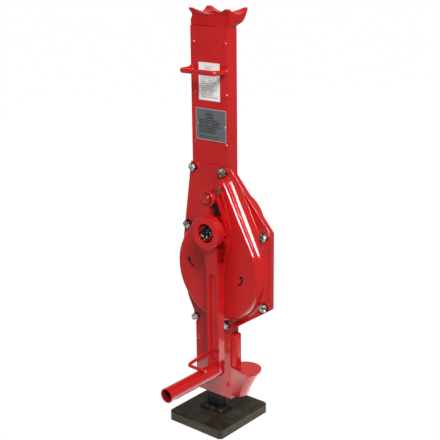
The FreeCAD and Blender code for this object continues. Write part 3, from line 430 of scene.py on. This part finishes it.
def red_enamel(name, creases=(), rough=0.045, gloss=0.2, dull_face=None):
    """Enamel with a faint orange peel. A crease is a ring that darkens the enamel: its centre's x and z,
    radius, width, and the y that it lies behind. On the crank the creases are painted shade, in the fork's
    throat and round the pawl pin. A flat face at the y of dull_face has a duller coat."""
    crease_dark = (0.09, 0.003, 0.003, 1.0)
    most_darkening = 0.85
    face_dullness = 0.30
    face_skin = 0.0001
    face_edge = 0.0006
    material, shader, place = new_finish(name)
    cloud = noise(place, scale=14.0, detail=2.0)
    peel = noise(place, scale=950.0, detail=2.0)
    flow = noise(place, scale=120.0, detail=2.0)
    tone = cloud.smooth(0.35, 0.65).colour(enamel_deep, enamel_bright)
    # Each crease darkens the enamel towards a dark red in a soft ring; on the crank this is painted shade.
    for x, z, radius, width, front_y in creases:
        _, depth, _ = place.axes()
        from_ring = (from_axis(place, x, z) - radius).math("ABSOLUTE")
        oil = (most_darkening - from_ring.smooth(0.0, width) * most_darkening) * (depth > front_y)
        tone = tone.mix_to(crease_dark, oil)
    tone.feed(shader.inputs["Base Color"])
    if dull_face is not None:
        _, depth, _ = place.axes()
        on_face = 1.0 - depth.smooth(dull_face + face_skin, dull_face + face_edge)
        rough = on_face * face_dullness + rough
    (cloud * 0.03 + flow * 0.03 + rough).feed(shader.inputs["Roughness"])
    bump(peel * 0.3 + flow * 0.7, strength=0.05, distance=0.0006).feed(shader.inputs["Normal"])
    shader.inputs["Specular IOR Level"].default_value = gloss
    return material


red_paint = red_enamel("red_enamel")
dress(red_paint, "front_plate", "back_plate", "left_bar", "right_bar_upper", "right_bar_lower")
dress(red_paint, "case_rim", "column_rivets")
shows_on(ceiling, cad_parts["column_rivets"])


# Crown: a forged head with four horns, welded on top of the column. Its enamel is duller than the
# plates', and a dark line is left in front where it meets the column.
crown_low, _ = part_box("crown")
joint_x = -0.012
joint_z = crown_low.z + 0.0010
joint_bow = 0.25
joint_width = 0.0016
before_crown = crown_low.y - 0.001
crown_joint = (joint_x, joint_z - joint_bow, joint_bow, joint_width, before_crown)
dress(red_enamel("crown_enamel", [crown_joint], rough=0.12, gloss=0.10), "crown")


# Toe claw: a forged toe with its strap, welded low on the column's right side. The forging is rough, so
# its enamel shows the bright floor only as a soft sheen.
dress(red_enamel("claw_enamel", rough=0.20, gloss=0.23), "toe_claw")


# Works inside the case: gears, shafts and guide shoes of ground steel, oiled, on plain bronze bearings in
# front. The rear bearings are closed caps with a flange on the back plate, painted with the case.
def streaks(place, scale_xyz):
    """Noise drawn out along an axis, such as brush or lathe marks."""
    drawn = place.add("ShaderNodeVectorMath", {"operation": "MULTIPLY"}, {0: place, 1: scale_xyz})
    return noise(drawn, scale=1.0, detail=2.0)


def turned_metal(name, dark, light, rough):
    lathe_marks = (90.0, 1800.0, 90.0)
    material, shader, place = new_finish(name)
    lathe = streaks(place, lathe_marks)
    oil = noise(place, scale=45.0)
    (lathe * 0.5 + oil * 0.5).colour(dark, light).feed(shader.inputs["Base Color"])
    (oil * 0.2 + rough).feed(shader.inputs["Roughness"])
    bump(lathe, strength=0.12, distance=0.0002).feed(shader.inputs["Normal"])
    shader.inputs["Metallic"].default_value = 1.0
    return material


gear_steel = turned_metal(
    "gear_steel", dark=(0.28, 0.28, 0.29, 1.0), light=(0.46, 0.46, 0.47, 1.0), rough=0.28)
bush_bronze = turned_metal(
    "bush_bronze", dark=(0.34, 0.19, 0.08, 1.0), light=(0.55, 0.33, 0.15, 1.0), rough=0.3)
dress(gear_steel, "main_gear", "gear_key", "gear_retaining_ring", "pinion_shaft")
dress(gear_steel, "left_shoe_lower", "right_shoe_lower", "left_shoe_upper")
dress(bush_bronze, "main_front_bearing", "crank_front_bearing")
dress(red_paint, "main_rear_bearing", "crank_rear_bearing")


# Gear cover: deep-drawn sheet. Its dome rises from the flange with a drawn radius, wide on the right
# flank and tight elsewhere. The flange's edge is rolled, and two black arrows are stencilled on the
# dome's flat face.
dome_seat_y = -0.016
dome_face_y = -0.0335
dome_draft = 0.005
dome_low_centre = (0.029, 0.297)
dome_low_radius = 0.092
dome_top_centre = (0.0385, 0.444)
dome_top_radius = 0.015
wide_radius = 0.016
tight_radius = 0.004


def dome_foot_path():
    """Points round the dome's foot: place, outward direction, drawn radius. The radius is wide along the
    right flank, and eases off over half of the top bow and the last fifth of the low one."""
    top_steps = 24
    low_steps = 96
    run_x = dome_top_centre[0] - dome_low_centre[0]
    run_z = dome_top_centre[1] - dome_low_centre[1]
    lean = math.asin((dome_low_radius - dome_top_radius) / math.hypot(run_x, run_z))
    axis = math.atan2(run_z, run_x)
    right_turn = axis - math.pi / 2 + lean
    left_turn = axis + math.pi / 2 - lean
    path = []
    for k in range(top_steps + 1):
        share = k / top_steps
        turn = right_turn + (left_turn - right_turn) * share
        width = max(0.0, 1.0 - 2.0 * share)
        path.append((dome_top_centre, dome_top_radius, turn, width))
    sweep = 2 * math.pi - (left_turn - right_turn)
    for k in range(low_steps + 1):
        share = k / low_steps
        turn = left_turn + sweep * share
        width = max(0.0, 5.0 * share - 4.0)
        path.append((dome_low_centre, dome_low_radius, turn, width))
    result = []
    for (x, z), radius, turn, width in path:
        outward = (math.cos(turn), math.sin(turn))
        soft_width = width * width * (3.0 - 2.0 * width)
        drawn = tight_radius + (wide_radius - tight_radius) * soft_width
        result.append(((x + radius * outward[0], z + radius * outward[1]), outward, drawn))
    return result


def dome_foot_mesh():
    """Hollow radius in the corner between flange and flank, with its back on both sheets."""
    flank_turn = math.atan2(dome_draft, dome_seat_y - dome_face_y)
    corner_turn = math.pi / 2 - flank_turn
    skin = 0.00003
    arc_steps = 14
    ring = arc_steps + 2
    points = []
    faces = []
    path = dome_foot_path()
    for (x, z), outward, drawn in path:
        reach = drawn * math.tan(corner_turn / 2)
        for k in range(arc_steps + 1):
            turn = corner_turn * k / arc_steps
            offset = reach - (drawn - skin) * math.sin(turn)
            depth = drawn - (drawn - skin) * math.cos(turn)
            points.append((x + outward[0] * offset, dome_seat_y - depth, z + outward[1] * offset))
        points.append((x - outward[0] * skin, dome_seat_y + skin, z - outward[1] * skin))
    for k in range(len(path)):
        ahead = (k + 1) % len(path)
        for step in range(ring):
            after = (step + 1) % ring
            here = (k * ring + step, k * ring + after)
            faces.append((*here, ahead * ring + after, ahead * ring + step))
    mesh = bpy.data.meshes.new("dome_foot_radius")
    mesh.from_pydata(points, [], faces)
    for k, face in enumerate(mesh.polygons):
        face.use_smooth = k % ring < arc_steps
    return mesh


def new_piece(name, mesh, material, body):
    mesh.materials.append(material)
    piece = bpy.data.objects.new(name, mesh)
    bpy.context.scene.collection.objects.link(piece)
    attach(piece, body)
    return piece


def arrow_mesh(arrows):
    """Flat bent arrows on the dome's face: centre, radius, start and end turn in degrees."""
    half_line = 0.0016
    half_head = 0.0046
    head_length = 0.0078
    ink = 0.00006
    steps = 10
    points = []
    faces = []
    for (x, z), radius, start, end in arrows:
        way = 1 if end > start else -1
        turns = [math.radians(start + (end - start) * k / steps) for k in range(steps + 1)]
        outline = [(radius + half_line, turn) for turn in turns]
        outline += [(radius + half_head, turns[-1]), (radius, turns[-1] + way * head_length / radius)]
        outline += [(radius - half_head, turns[-1])]
        outline += [(radius - half_line, turn) for turn in reversed(turns)]
        first = len(points)
        count = len(outline)
        for y in (dome_face_y - ink, dome_face_y + ink):
            points += [(x + r * math.cos(turn), y, z + r * math.sin(turn)) for r, turn in outline]
        front = [first + k for k in range(count)]
        if way < 0:
            front.reverse()
        back = [k + count for k in reversed(front)]
        faces += [front, back]
        for k in range(count):
            here = front[k]
            after = front[(k + 1) % count]
            faces.append((after, here, here + count, after + count))
    mesh = bpy.data.meshes.new("turn_arrows")
    mesh.from_pydata(points, [], faces)
    return mesh


def stencil_black():
    ink_black = (0.012, 0.010, 0.010, 1.0)
    worn_ink = (0.05, 0.012, 0.012, 1.0)
    material, shader, place = new_finish("stencil_black")
    wear = noise(place, scale=900.0)
    wear.smooth(0.55, 0.75).colour(ink_black, worn_ink).feed(shader.inputs["Base Color"])
    (wear * 0.2 + 0.6).feed(shader.inputs["Roughness"])
    shader.inputs["Specular IOR Level"].default_value = 0.05
    return material


def roll_tree():
    """A round roll along a path, for edges that are rolled or rounded off."""
    tree, given, end = new_tree("edge_roll", ["Roll radius"], ["Roll paint"])
    path = given["Geometry"].add("GeometryNodeMeshToCurve", None, {"Mesh": given["Geometry"]})
    ring = path.add(
        "GeometryNodeCurvePrimitiveCircle", None, {"Resolution": 16, "Radius": given["Roll radius"]})
    roll = path.add(
        "GeometryNodeCurveToMesh", None, {"Curve": path, "Profile Curve": ring, "Fill Caps": True})
    solid = path.add("GeometryNodeRealizeInstances", None, {"Geometry": roll})
    soft = path.add("GeometryNodeSetShadeSmooth", None, {"Geometry": solid})
    coated = path.add(
        "GeometryNodeSetMaterial", None, {"Geometry": soft, "Material": given["Roll paint"]})
    coated.feed(end)
    return tree


edge_roll = roll_tree()
flange_roll = 0.0015
flange_roll_y = dome_seat_y + 0.0006
flange_edge = [
    (0.0445, 0.4735),
    (0.1276, 0.3782),
    (0.1291, 0.3755),
    (0.1291, 0.2480),
    (0.1276, 0.2450),
    (0.0500, 0.1925),
]
cover_rim = grown(
    "cover_rim",
    edge_roll,
    [(x, flange_roll_y, z) for x, z in flange_edge],
    [(k, k + 1) for k in range(len(flange_edge) - 1)],
    {"Roll radius": flange_roll, "Roll paint": red_paint},
)
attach(cover_rim, "housing")
dome_foot = new_piece("dome_foot_radius", dome_foot_mesh(), red_paint, "housing")
left_arrow = ((-0.0180, 0.3105), 0.0165, -95.0, -155.0)
right_arrow = ((0.0735, 0.2920), 0.0100, -80.0, 15.0)
new_piece("turn_arrows", arrow_mesh([left_arrow, right_arrow]), stencil_black(), "housing")
dress(red_enamel("cover_enamel", dull_face=dome_face_y), "gear_cover")
shows_on(banner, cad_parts["gear_cover"], dome_foot, cover_rim)
shows_on(ceiling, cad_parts["gear_cover"], dome_foot, cover_rim)


# Cover bolts: seven zinc-plated hexagon bolts with dark spring washers, through the cover's flange
# into nuts welded behind it.
def bright_zinc():
    stained_zinc = (0.03, 0.028, 0.024, 1.0)
    clean_zinc = (0.60, 0.58, 0.52, 1.0)
    material, shader, place = new_finish("bright_zinc")
    patch = noise(place, scale=300.0)
    stain = noise(place, scale=60.0, detail=2.0)
    clean = (patch * 0.6 + stain * 0.4).smooth(0.41, 0.59)
    clean.colour(stained_zinc, clean_zinc).feed(shader.inputs["Base Color"])
    (patch * 0.2 + 0.22).feed(shader.inputs["Roughness"])
    bump(patch, strength=0.15, distance=0.0002).feed(shader.inputs["Normal"])
    shader.inputs["Metallic"].default_value = 1.0
    return material


def bolt_tree():
    """A bolt on each point, facing the front: washer, bevelled hexagon head and shank."""
    washer_sides, head_sides, shank_sides = 28, 6, 16
    bevel_share = 0.8
    most_spin = 1.05
    head_sizes = ["Head radius", "Head height", "Head bevel"]
    other_sizes = ["Washer radius", "Washer height", "Shank radius", "Shank length"]
    tree, given, end = new_tree(
        "hexagon_bolts", head_sizes + other_sizes, ["Head metal", "Washer metal"])
    start = given["Geometry"]

    def drum(sides, radius, height, low):
        barrel = start.add(
            "GeometryNodeMeshCylinder", None, {"Vertices": sides, "Radius": radius, "Depth": height})
        lift = start.add("ShaderNodeCombineXYZ", None, {"Z": low + height * 0.5})
        return start.add("GeometryNodeTransform", None, {"Geometry": barrel, "Translation": lift})

    washer = drum(washer_sides, given["Washer radius"], given["Washer height"], 0.0)
    washer = start.add(
        "GeometryNodeStoreNamedAttribute",
        {"data_type": "BOOLEAN", "domain": "FACE"},
        {"Geometry": washer, "Name": "is_washer", "Value": True},
    )
    flat_height = given["Head height"] - given["Head bevel"]
    head = drum(head_sides, given["Head radius"], flat_height, given["Washer height"])
    bevel = start.add("GeometryNodeMeshCone", None, {
        "Vertices": head_sides,
        "Radius Top": given["Head radius"] * bevel_share,
        "Radius Bottom": given["Head radius"],
        "Depth": given["Head bevel"],
    })
    bevel_lift = start.add("ShaderNodeCombineXYZ", None, {"Z": given["Washer height"] + flat_height})
    bevel = start.add("GeometryNodeTransform", None, {"Geometry": bevel, "Translation": bevel_lift})
    shank = drum(shank_sides, given["Shank radius"], given["Shank length"], given["Shank length"] * -1.0)
    bolt = start.add("GeometryNodeJoinGeometry", None, {"Geometry": [washer, head, bevel, shank]})
    spin = start.add(
        "FunctionNodeRandomValue", {"data_type": "FLOAT"}, {2: 0.0, 3: most_spin, "Seed": 3}, output=1)
    turn = start.add("ShaderNodeCombineXYZ", None, {"X": math.pi / 2, "Y": spin})
    bolts = start.add(
        "GeometryNodeInstanceOnPoints", None, {"Points": start, "Instance": bolt, "Rotation": turn})
    solid = start.add("GeometryNodeRealizeInstances", None, {"Geometry": bolts})
    plated = start.add(
        "GeometryNodeSetMaterial", None, {"Geometry": solid, "Material": given["Head metal"]})
    on_washer = start.add(
        "GeometryNodeInputNamedAttribute", {"data_type": "BOOLEAN"}, {"Name": "is_washer"})
    dressed = start.add("GeometryNodeSetMaterial", None, {
        "Geometry": plated,
        "Selection": on_washer,
        "Material": given["Washer metal"],
    })
    dressed.feed(end)
    return tree


zinc = bright_zinc()
dark_steel = turned_metal(
    "dark_steel", dark=(0.010, 0.010, 0.010, 1.0), light=(0.045, 0.042, 0.038, 1.0), rough=0.30)
bolt_places = [
    (-0.034, 0.466),
    (0.032, 0.466),
    (0.117, 0.370),
    (0.117, 0.247),
    (0.034, 0.193),
    (-0.034, 0.193),
    (-0.0492, 0.362),
]
cover_bolt_set = grown("cover_bolt_set", bolt_tree(), [(x, dome_seat_y, z) for x, z in bolt_places], [], {
    "Head radius": 0.0075,
    "Head height": 0.0055,
    "Head bevel": 0.0009,
    "Washer radius": 0.0075,
    "Washer height": 0.0016,
    "Shank radius": 0.004,
    "Shank length": 0.0125,
    "Head metal": zinc,
    "Washer metal": dark_steel,
})
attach(cover_bolt_set, "housing")
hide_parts("cover_bolts")
shows_on(ceiling, cover_bolt_set)
dress(red_paint, "cover_nuts")


# Carry handle: round rod bent to a bow. Each foot is welded to the front plate with a small bead, and the
# handle is painted with the column.
def front_rings(places, steps):
    """Closed rings that face the front, each with its centre and radius."""
    points = []
    edges = []
    for x, y, z, radius in places:
        first = len(points)
        for k in range(steps):
            turn = 2 * math.pi * k / steps
            points.append((x + radius * math.cos(turn), y, z + radius * math.sin(turn)))
            edges.append((first + k, first + (k + 1) % steps))
    return points, edges


handle_low, handle_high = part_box("carry_handle")
handle_z = (handle_low.z + handle_high.z) / 2
handle_rod_radius = 0.00425
bead_radius = handle_rod_radius + 0.0003
bead_y = handle_high.y - 0.0004
handle_feet = front_rings([
    (handle_low.x + handle_rod_radius, bead_y, handle_z, bead_radius),
    (handle_high.x - handle_rod_radius, bead_y, handle_z, bead_radius),
], steps=20)
handle_welds = grown("handle_welds", weld_bead, *handle_feet, {
    "Core radius": 0.0013,
    "Drop radius": 0.0016,
    "Drop spacing": 0.0021,
    "Weld metal": red_paint,
})
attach(handle_welds, "housing")
dress(red_paint, "carry_handle")
shows_on(ceiling, handle_welds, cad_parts["carry_handle"])


# Label and rating plate on the column's front: white paper with rows of print, and a printed
# aluminium plate held by two drive pins.
def print_rows(place, rows, left, right, pitch, height, seed):
    """Rows of short dashes, like print seen from afar: 1 on ink and 0 elsewhere."""
    dashes_per_metre = 260.0
    row_shift = 7.31
    gap_level = 0.36
    shortest_row = 0.65
    low, high = rows
    full_row = right - left
    across, _, up = place.axes()
    row = (up / pitch).math("FLOOR")
    within = (up / pitch).math("FRACT")
    along_row = place.add(
        "ShaderNodeCombineXYZ", None, {"X": across * dashes_per_metre, "Y": row * row_shift + seed})
    words = place.add(
        "ShaderNodeTexNoise", {"noise_dimensions": "2D"}, {"Vector": along_row, "Scale": 1.0, "Detail": 1.0})
    ends = place.add("ShaderNodeTexWhiteNoise", {"noise_dimensions": "1D"}, {"W": row + seed})
    row_end = ends * full_row * (1.0 - shortest_row) + left + full_row * shortest_row
    inside = (across > left) * (across < row_end)
    return (within < height) * (words > gap_level) * inside * (up > low) * (up < high)


def label_paper():
    paper_dull = (0.78, 0.755, 0.72, 1.0)
    paper_clean = (0.86, 0.84, 0.81, 1.0)
    grey_ink = (0.30, 0.29, 0.28, 1.0)
    margin = 0.004
    title_inset = 0.008
    material, shader, place = new_finish("label_paper")
    low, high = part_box("paper_label")
    left = low.x + margin
    right = high.x - margin
    text_rows = (low.z + 0.005, high.z - 0.020)
    title_rows = (high.z - 0.012, high.z - 0.005)
    text = print_rows(place, text_rows, left, right, pitch=0.0031, height=0.55, seed=3.0)
    title = print_rows(
        place, title_rows, left + title_inset, right - title_inset, pitch=0.0036, height=0.5, seed=11.0)
    fibre = noise(place, scale=1500.0, detail=2.0)
    ink = (text + title).math("MINIMUM", 1.0) * 0.75
    fibre.colour(paper_dull, paper_clean).mix_to(grey_ink, ink).feed(shader.inputs["Base Color"])
    (fibre * 0.2 + 0.45).feed(shader.inputs["Roughness"])
    shader.inputs["Specular IOR Level"].default_value = 0.2
    return material


def printed_plate():
    plate_dark = (0.125, 0.128, 0.138, 1.0)
    plate_light = (0.165, 0.168, 0.18, 1.0)
    bare_metal = (0.42, 0.42, 0.43, 1.0)
    black_ink = (0.012, 0.012, 0.014, 1.0)
    margin = 0.007
    title_inset = 0.014
    rim_width = 0.0011
    brush_marks = (60.0, 60.0, 3000.0)
    material, shader, place = new_finish("printed_plate")
    low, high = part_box("rating_plate")
    left = low.x + margin
    right = high.x - margin
    text_rows = (low.z + 0.011, high.z - 0.018)
    title_rows = (high.z - 0.016, high.z - 0.005)
    foot_rows = (low.z + 0.003, low.z + 0.008)
    text = print_rows(place, text_rows, left, right, pitch=0.0034, height=0.55, seed=5.0)
    title = print_rows(
        place, title_rows, left + title_inset, right - title_inset, pitch=0.0052, height=0.55, seed=17.0)
    foot = print_rows(place, foot_rows, left, right, pitch=0.0034, height=0.45, seed=23.0)
    ink = (text + title + foot).math("MINIMUM", 1.0)
    across, _, up = place.axes()
    to_side = (across - low.x).math("MINIMUM", high.x - across)
    to_end = (up - low.z).math("MINIMUM", high.z - up)
    bare_rim = to_side.math("MINIMUM", to_end) < rim_width
    brushed = streaks(place, brush_marks)
    metal = brushed.colour(plate_dark, plate_light).mix_to(bare_metal, bare_rim)
    metal.mix_to(black_ink, ink * 0.9).feed(shader.inputs["Base Color"])
    (0.5 - ink * 0.4).feed(shader.inputs["Metallic"])
    (brushed * 0.15 + 0.38).feed(shader.inputs["Roughness"])
    bump(brushed, strength=0.08, distance=0.0002).feed(shader.inputs["Normal"])
    shader.inputs["Specular IOR Level"].default_value = 0.3
    return material


dress(label_paper(), "paper_label")
dress(printed_plate(), "rating_plate")
dress(zinc, "plate_pins")
shows_on(ceiling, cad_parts["plate_pins"])


# Crank: a forged fork on the shaft with its arm, grip tube and wire hook. Its front cheek is open beside
# the web, and between the cheeks sit the ratchet, the brake discs and the pawl. A slotted nut holds the
# stack on the shaft. It was all sprayed red together, and what is worn or oiled shows dark or bare. The
# pawl's black blade, the dark throat of the fork and the dark rings round the pawl pin are painted shade.
boss_x = 0.040
boss_z = 0.375735
boss_front_y = -0.0745
boss_radius = 0.0275
recess_radius = 0.01651
cheek_front_y = -0.0660
cheek_back_y = -0.0600
lug_radius = 0.0135
pin_low, pin_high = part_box("pawl_pin")
pin_x = (pin_low.x + pin_high.x) / 2
pin_z = (pin_low.z + pin_high.z) / 2
pin_head_radius = (pin_high.x - pin_low.x) / 2
peened_radius = 0.0046


def pawl_finish():
    """Red at the hub, bare brown steel on the tail that the thumb lifts, and painted shade:
    the blade black on its left and low side.
    """
    pawl_red = ((0.46, 0.0055, 0.0065, 1.0), (0.52, 0.0065, 0.0075, 1.0))
    bare_brown = ((0.13, 0.085, 0.05, 1.0), (0.30, 0.21, 0.14, 1.0))
    near_black = ((0.006, 0.005, 0.005, 1.0), (0.025, 0.020, 0.018, 1.0))
    tail_starts, tail_ends = (0.4365, 0.4380), (0.4480, 0.4495)
    blade_starts, blade_ends = (0.4000, 0.4040), (0.4260, 0.4285)
    tail_left = (0.0450, 0.0462)
    blade_x = 0.0451
    blade_z = 0.4299
    blade_lean = 2.06
    shade_edge = (-0.0020, 0.0004)
    material, shader, place = new_finish("pawl_finish")
    across, _, up = place.axes()
    rub = noise(place, scale=160.0, detail=4.0)
    tail = up.smooth(*tail_starts) - up.smooth(*tail_ends)
    bare = (across + rub * 0.004).smooth(*tail_left) * tail
    blade = up.smooth(*blade_starts) - up.smooth(*blade_ends)
    # Painted shade: the blade turns black left of and below a slanted line, where the gap behind the window
    # is dark.
    past_middle = (across - blade_x) * blade_lean + up - blade_z
    shaded_blade = (1.0 - past_middle.smooth(*shade_edge)) * blade
    paint = rub.colour(*pawl_red)
    steel = rub.colour(*bare_brown)
    black = rub.colour(*near_black)
    paint.mix_to(steel, bare).mix_to(black, shaded_blade).feed(shader.inputs["Base Color"])
    (bare * 0.6).feed(shader.inputs["Metallic"])
    (bare * 0.25 + rub * 0.05 + 0.06).feed(shader.inputs["Roughness"])
    bump(rub, strength=0.1, distance=0.0004).feed(shader.inputs["Normal"])
    shader.inputs["Specular IOR Level"].default_value = 0.2
    return material


def grip_finish():
    """Enamel outside; the tube's bore took only a thin, dull coat."""
    dull_deep = (0.20, 0.004, 0.004, 1.0)
    dull_bright = (0.27, 0.005, 0.005, 1.0)
    coat_starts = 0.0017
    coat_full = 0.0013
    material, shader, place = new_finish("grip_finish")
    grip_low, grip_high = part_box("crank_grip")
    grip_x = (grip_low.x + grip_high.x) / 2
    grip_z = (grip_low.z + grip_high.z) / 2
    outer = (grip_high.x - grip_low.x) / 2
    outside = from_axis(place, grip_x, grip_z).smooth(outer - coat_starts, outer - coat_full)
    cloud = noise(place, scale=40.0)
    enamel = cloud.colour(enamel_deep, enamel_bright)
    cloud.colour(dull_deep, dull_bright).mix_to(enamel, outside).feed(shader.inputs["Base Color"])
    (0.75 - outside * 0.68 + cloud * 0.03).feed(shader.inputs["Roughness"])
    bump(noise(place, scale=300.0, detail=2.0), strength=0.05, distance=0.0006).feed(shader.inputs["Normal"])
    shader.inputs["Specular IOR Level"].default_value = 0.2
    return material


def worn_nut():
    """Oiled black along the cotter slot, rubbed bright in spots, and red where the spray reached in."""
    near_black = ((0.003, 0.003, 0.003, 1.0), (0.008, 0.007, 0.007, 1.0))
    bright_steel = (0.60, 0.57, 0.53, 1.0)
    thin_red = (0.36, 0.006, 0.006, 1.0)
    slot_x, slot_z = 0.72, 0.69
    spray_edge = (0.0104, 0.0116)
    material, shader, place = new_finish("worn_nut")
    across, _, up = place.axes()
    wear = noise(place, scale=240.0, detail=2.0)
    beside_slot = ((across - boss_x) * slot_z - (up - boss_z) * slot_x).math("ABSOLUTE")
    sprayed = (beside_slot + wear * 0.004).smooth(*spray_edge)
    rubbed = wear.smooth(0.58, 0.66) * (1.0 - sprayed)
    metal = wear.colour(*near_black).mix_to(bright_steel, rubbed)
    metal.mix_to(thin_red, sprayed).feed(shader.inputs["Base Color"])
    rubbed.feed(shader.inputs["Metallic"])
    (wear * 0.1 + 0.15).feed(shader.inputs["Roughness"])
    bump(wear, strength=0.2, distance=0.0006).feed(shader.inputs["Normal"])
    shader.inputs["Specular IOR Level"].default_value = 0.06
    return material


def bow(x, z, radius, start, end, steps=16):
    """Points on an arc about a centre, from one turn to another in degrees."""
    turns = [math.radians(start + (end - start) * k / steps) for k in range(steps + 1)]
    return [(x + radius * math.cos(turn), z + radius * math.sin(turn)) for turn in turns]


def loose_object(name, mesh):
    holder = bpy.data.objects.new(name, mesh)
    bpy.context.scene.collection.objects.link(holder)
    return holder


def window_cutter():
    """Prism of the window in the front cheek, between its web, the pawl lug and the boss."""
    web_edge = 0.0415
    right_of_all = 0.080
    past = 0.0004
    boss_side = 25.0
    under_lug = math.degrees(-math.acos((web_edge - pin_x) / lug_radius))
    over_boss = math.degrees(math.acos((web_edge - boss_x) / (boss_radius + past)))
    outline = bow(boss_x, boss_z, boss_radius + past, over_boss, boss_side)
    outline += [(right_of_all, boss_z), (right_of_all, pin_z)]
    outline += bow(pin_x, pin_z, lug_radius, 0.0, under_lug)
    count = len(outline)
    points = [(x, y, z) for y in (cheek_front_y - past, cheek_back_y + past) for x, z in outline]
    faces = [list(range(count)), list(range(2 * count - 1, count - 1, -1))]
    faces += [(k, k + count, (k + 1) % count + count, (k + 1) % count) for k in range(count)]
    mesh = bpy.data.meshes.new("window_cutter")
    mesh.from_pydata(points, [], faces)
    shape = bmesh.new()
    shape.from_mesh(mesh)
    bmesh.ops.recalc_face_normals(shape, faces=shape.faces)
    shape.to_mesh(mesh)
    shape.free()
    return loose_object("window_cutter", mesh)


def forged_crank():
    """The crank's forging, its front cheek opened beside the web so that the pawl shows."""
    same_point = 1e-6
    sharp_turn = math.radians(30.0)
    shape = bmesh.new()
    shape.from_mesh(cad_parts["crank_arm"].data)
    bmesh.ops.remove_doubles(shape, verts=shape.verts, dist=same_point)
    shape.verts.index_update()
    points = [tuple(vert.co) for vert in shape.verts]
    faces = [[vert.index for vert in face.verts] for face in shape.faces]
    shape.free()
    mesh = bpy.data.meshes.new("crank_blank")
    mesh.from_pydata(points, [], faces)
    blank = loose_object("crank_blank", mesh)
    cutter = window_cutter()
    cut = blank.modifiers.new("window", "BOOLEAN")
    cut.operation = "DIFFERENCE"
    cut.solver = "EXACT"
    cut.object = cutter
    held = blank.evaluated_get(bpy.context.evaluated_depsgraph_get())
    opened = bpy.data.meshes.new_from_object(held)
    bpy.data.objects.remove(blank)
    bpy.data.objects.remove(cutter)
    for face in opened.polygons:
        face.use_smooth = True
    opened.set_sharp_from_angle(angle=sharp_turn)
    return opened


# Painted shade: three dark spots on the rear cheek's inside, in the fork's throat behind the window, and
# dark rings round the pawl pin's head and its peened rim.
throat_x = 0.0530
throat_y = cheek_back_y + 0.002
throat_shade = [(0.3460, 0.0115), (0.3350, 0.0095), (0.3250, 0.0080)]
crank_creases = [(pin_x, pin_z, pin_head_radius + 0.0006, 0.0013, boss_front_y)]
crank_creases += [(throat_x, z, 0.0, width, throat_y) for z, width in throat_shade]
pin_creases = [
    (pin_x, pin_z, peened_radius + 0.0016, 0.0009, boss_front_y),
    (pin_x, pin_z, pin_head_radius, 0.0010, boss_front_y),
]
crank_paint = red_enamel("crank_enamel", crank_creases)
crank_forging = new_piece("crank_forging", forged_crank(), crank_paint, "crank")
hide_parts("crank_arm")
dress(red_enamel("pin_enamel", pin_creases), "pawl_pin")
dress(red_paint, "crank_hook", "pawl_spacer_front", "pawl_spacer_rear")
dress(grip_finish(), "crank_grip")
dress(red_paint, "ratchet_wheel", "thrust_collar", "rear_brake_disc", "front_brake_disc")
dress(pawl_finish(), "pawl")
dress(worn_nut(), "crank_shaft", "crank_nut", "cotter_pin")

rim_roll = 0.0014
rim_sink = rim_roll * 0.8
pin_sink = rim_roll * 0.5
lug_sink = rim_roll * 0.6
rim_rings = front_rings([
    (boss_x, boss_front_y + rim_sink, boss_z, boss_radius - rim_sink),
    (boss_x, boss_front_y + rim_sink, boss_z, recess_radius + rim_sink),
    (pin_x, pin_low.y + pin_sink, pin_z, peened_radius),
    (pin_x, cheek_front_y + lug_sink, pin_z, lug_radius - rim_sink),
], steps=56)
crank_rims = grown("crank_rims", edge_roll, *rim_rings, {"Roll radius": rim_roll, "Roll paint": red_paint})
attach(crank_rims, "crank")
shows_on(ceiling, crank_rims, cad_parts["crank_nut"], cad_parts["pawl_pin"])
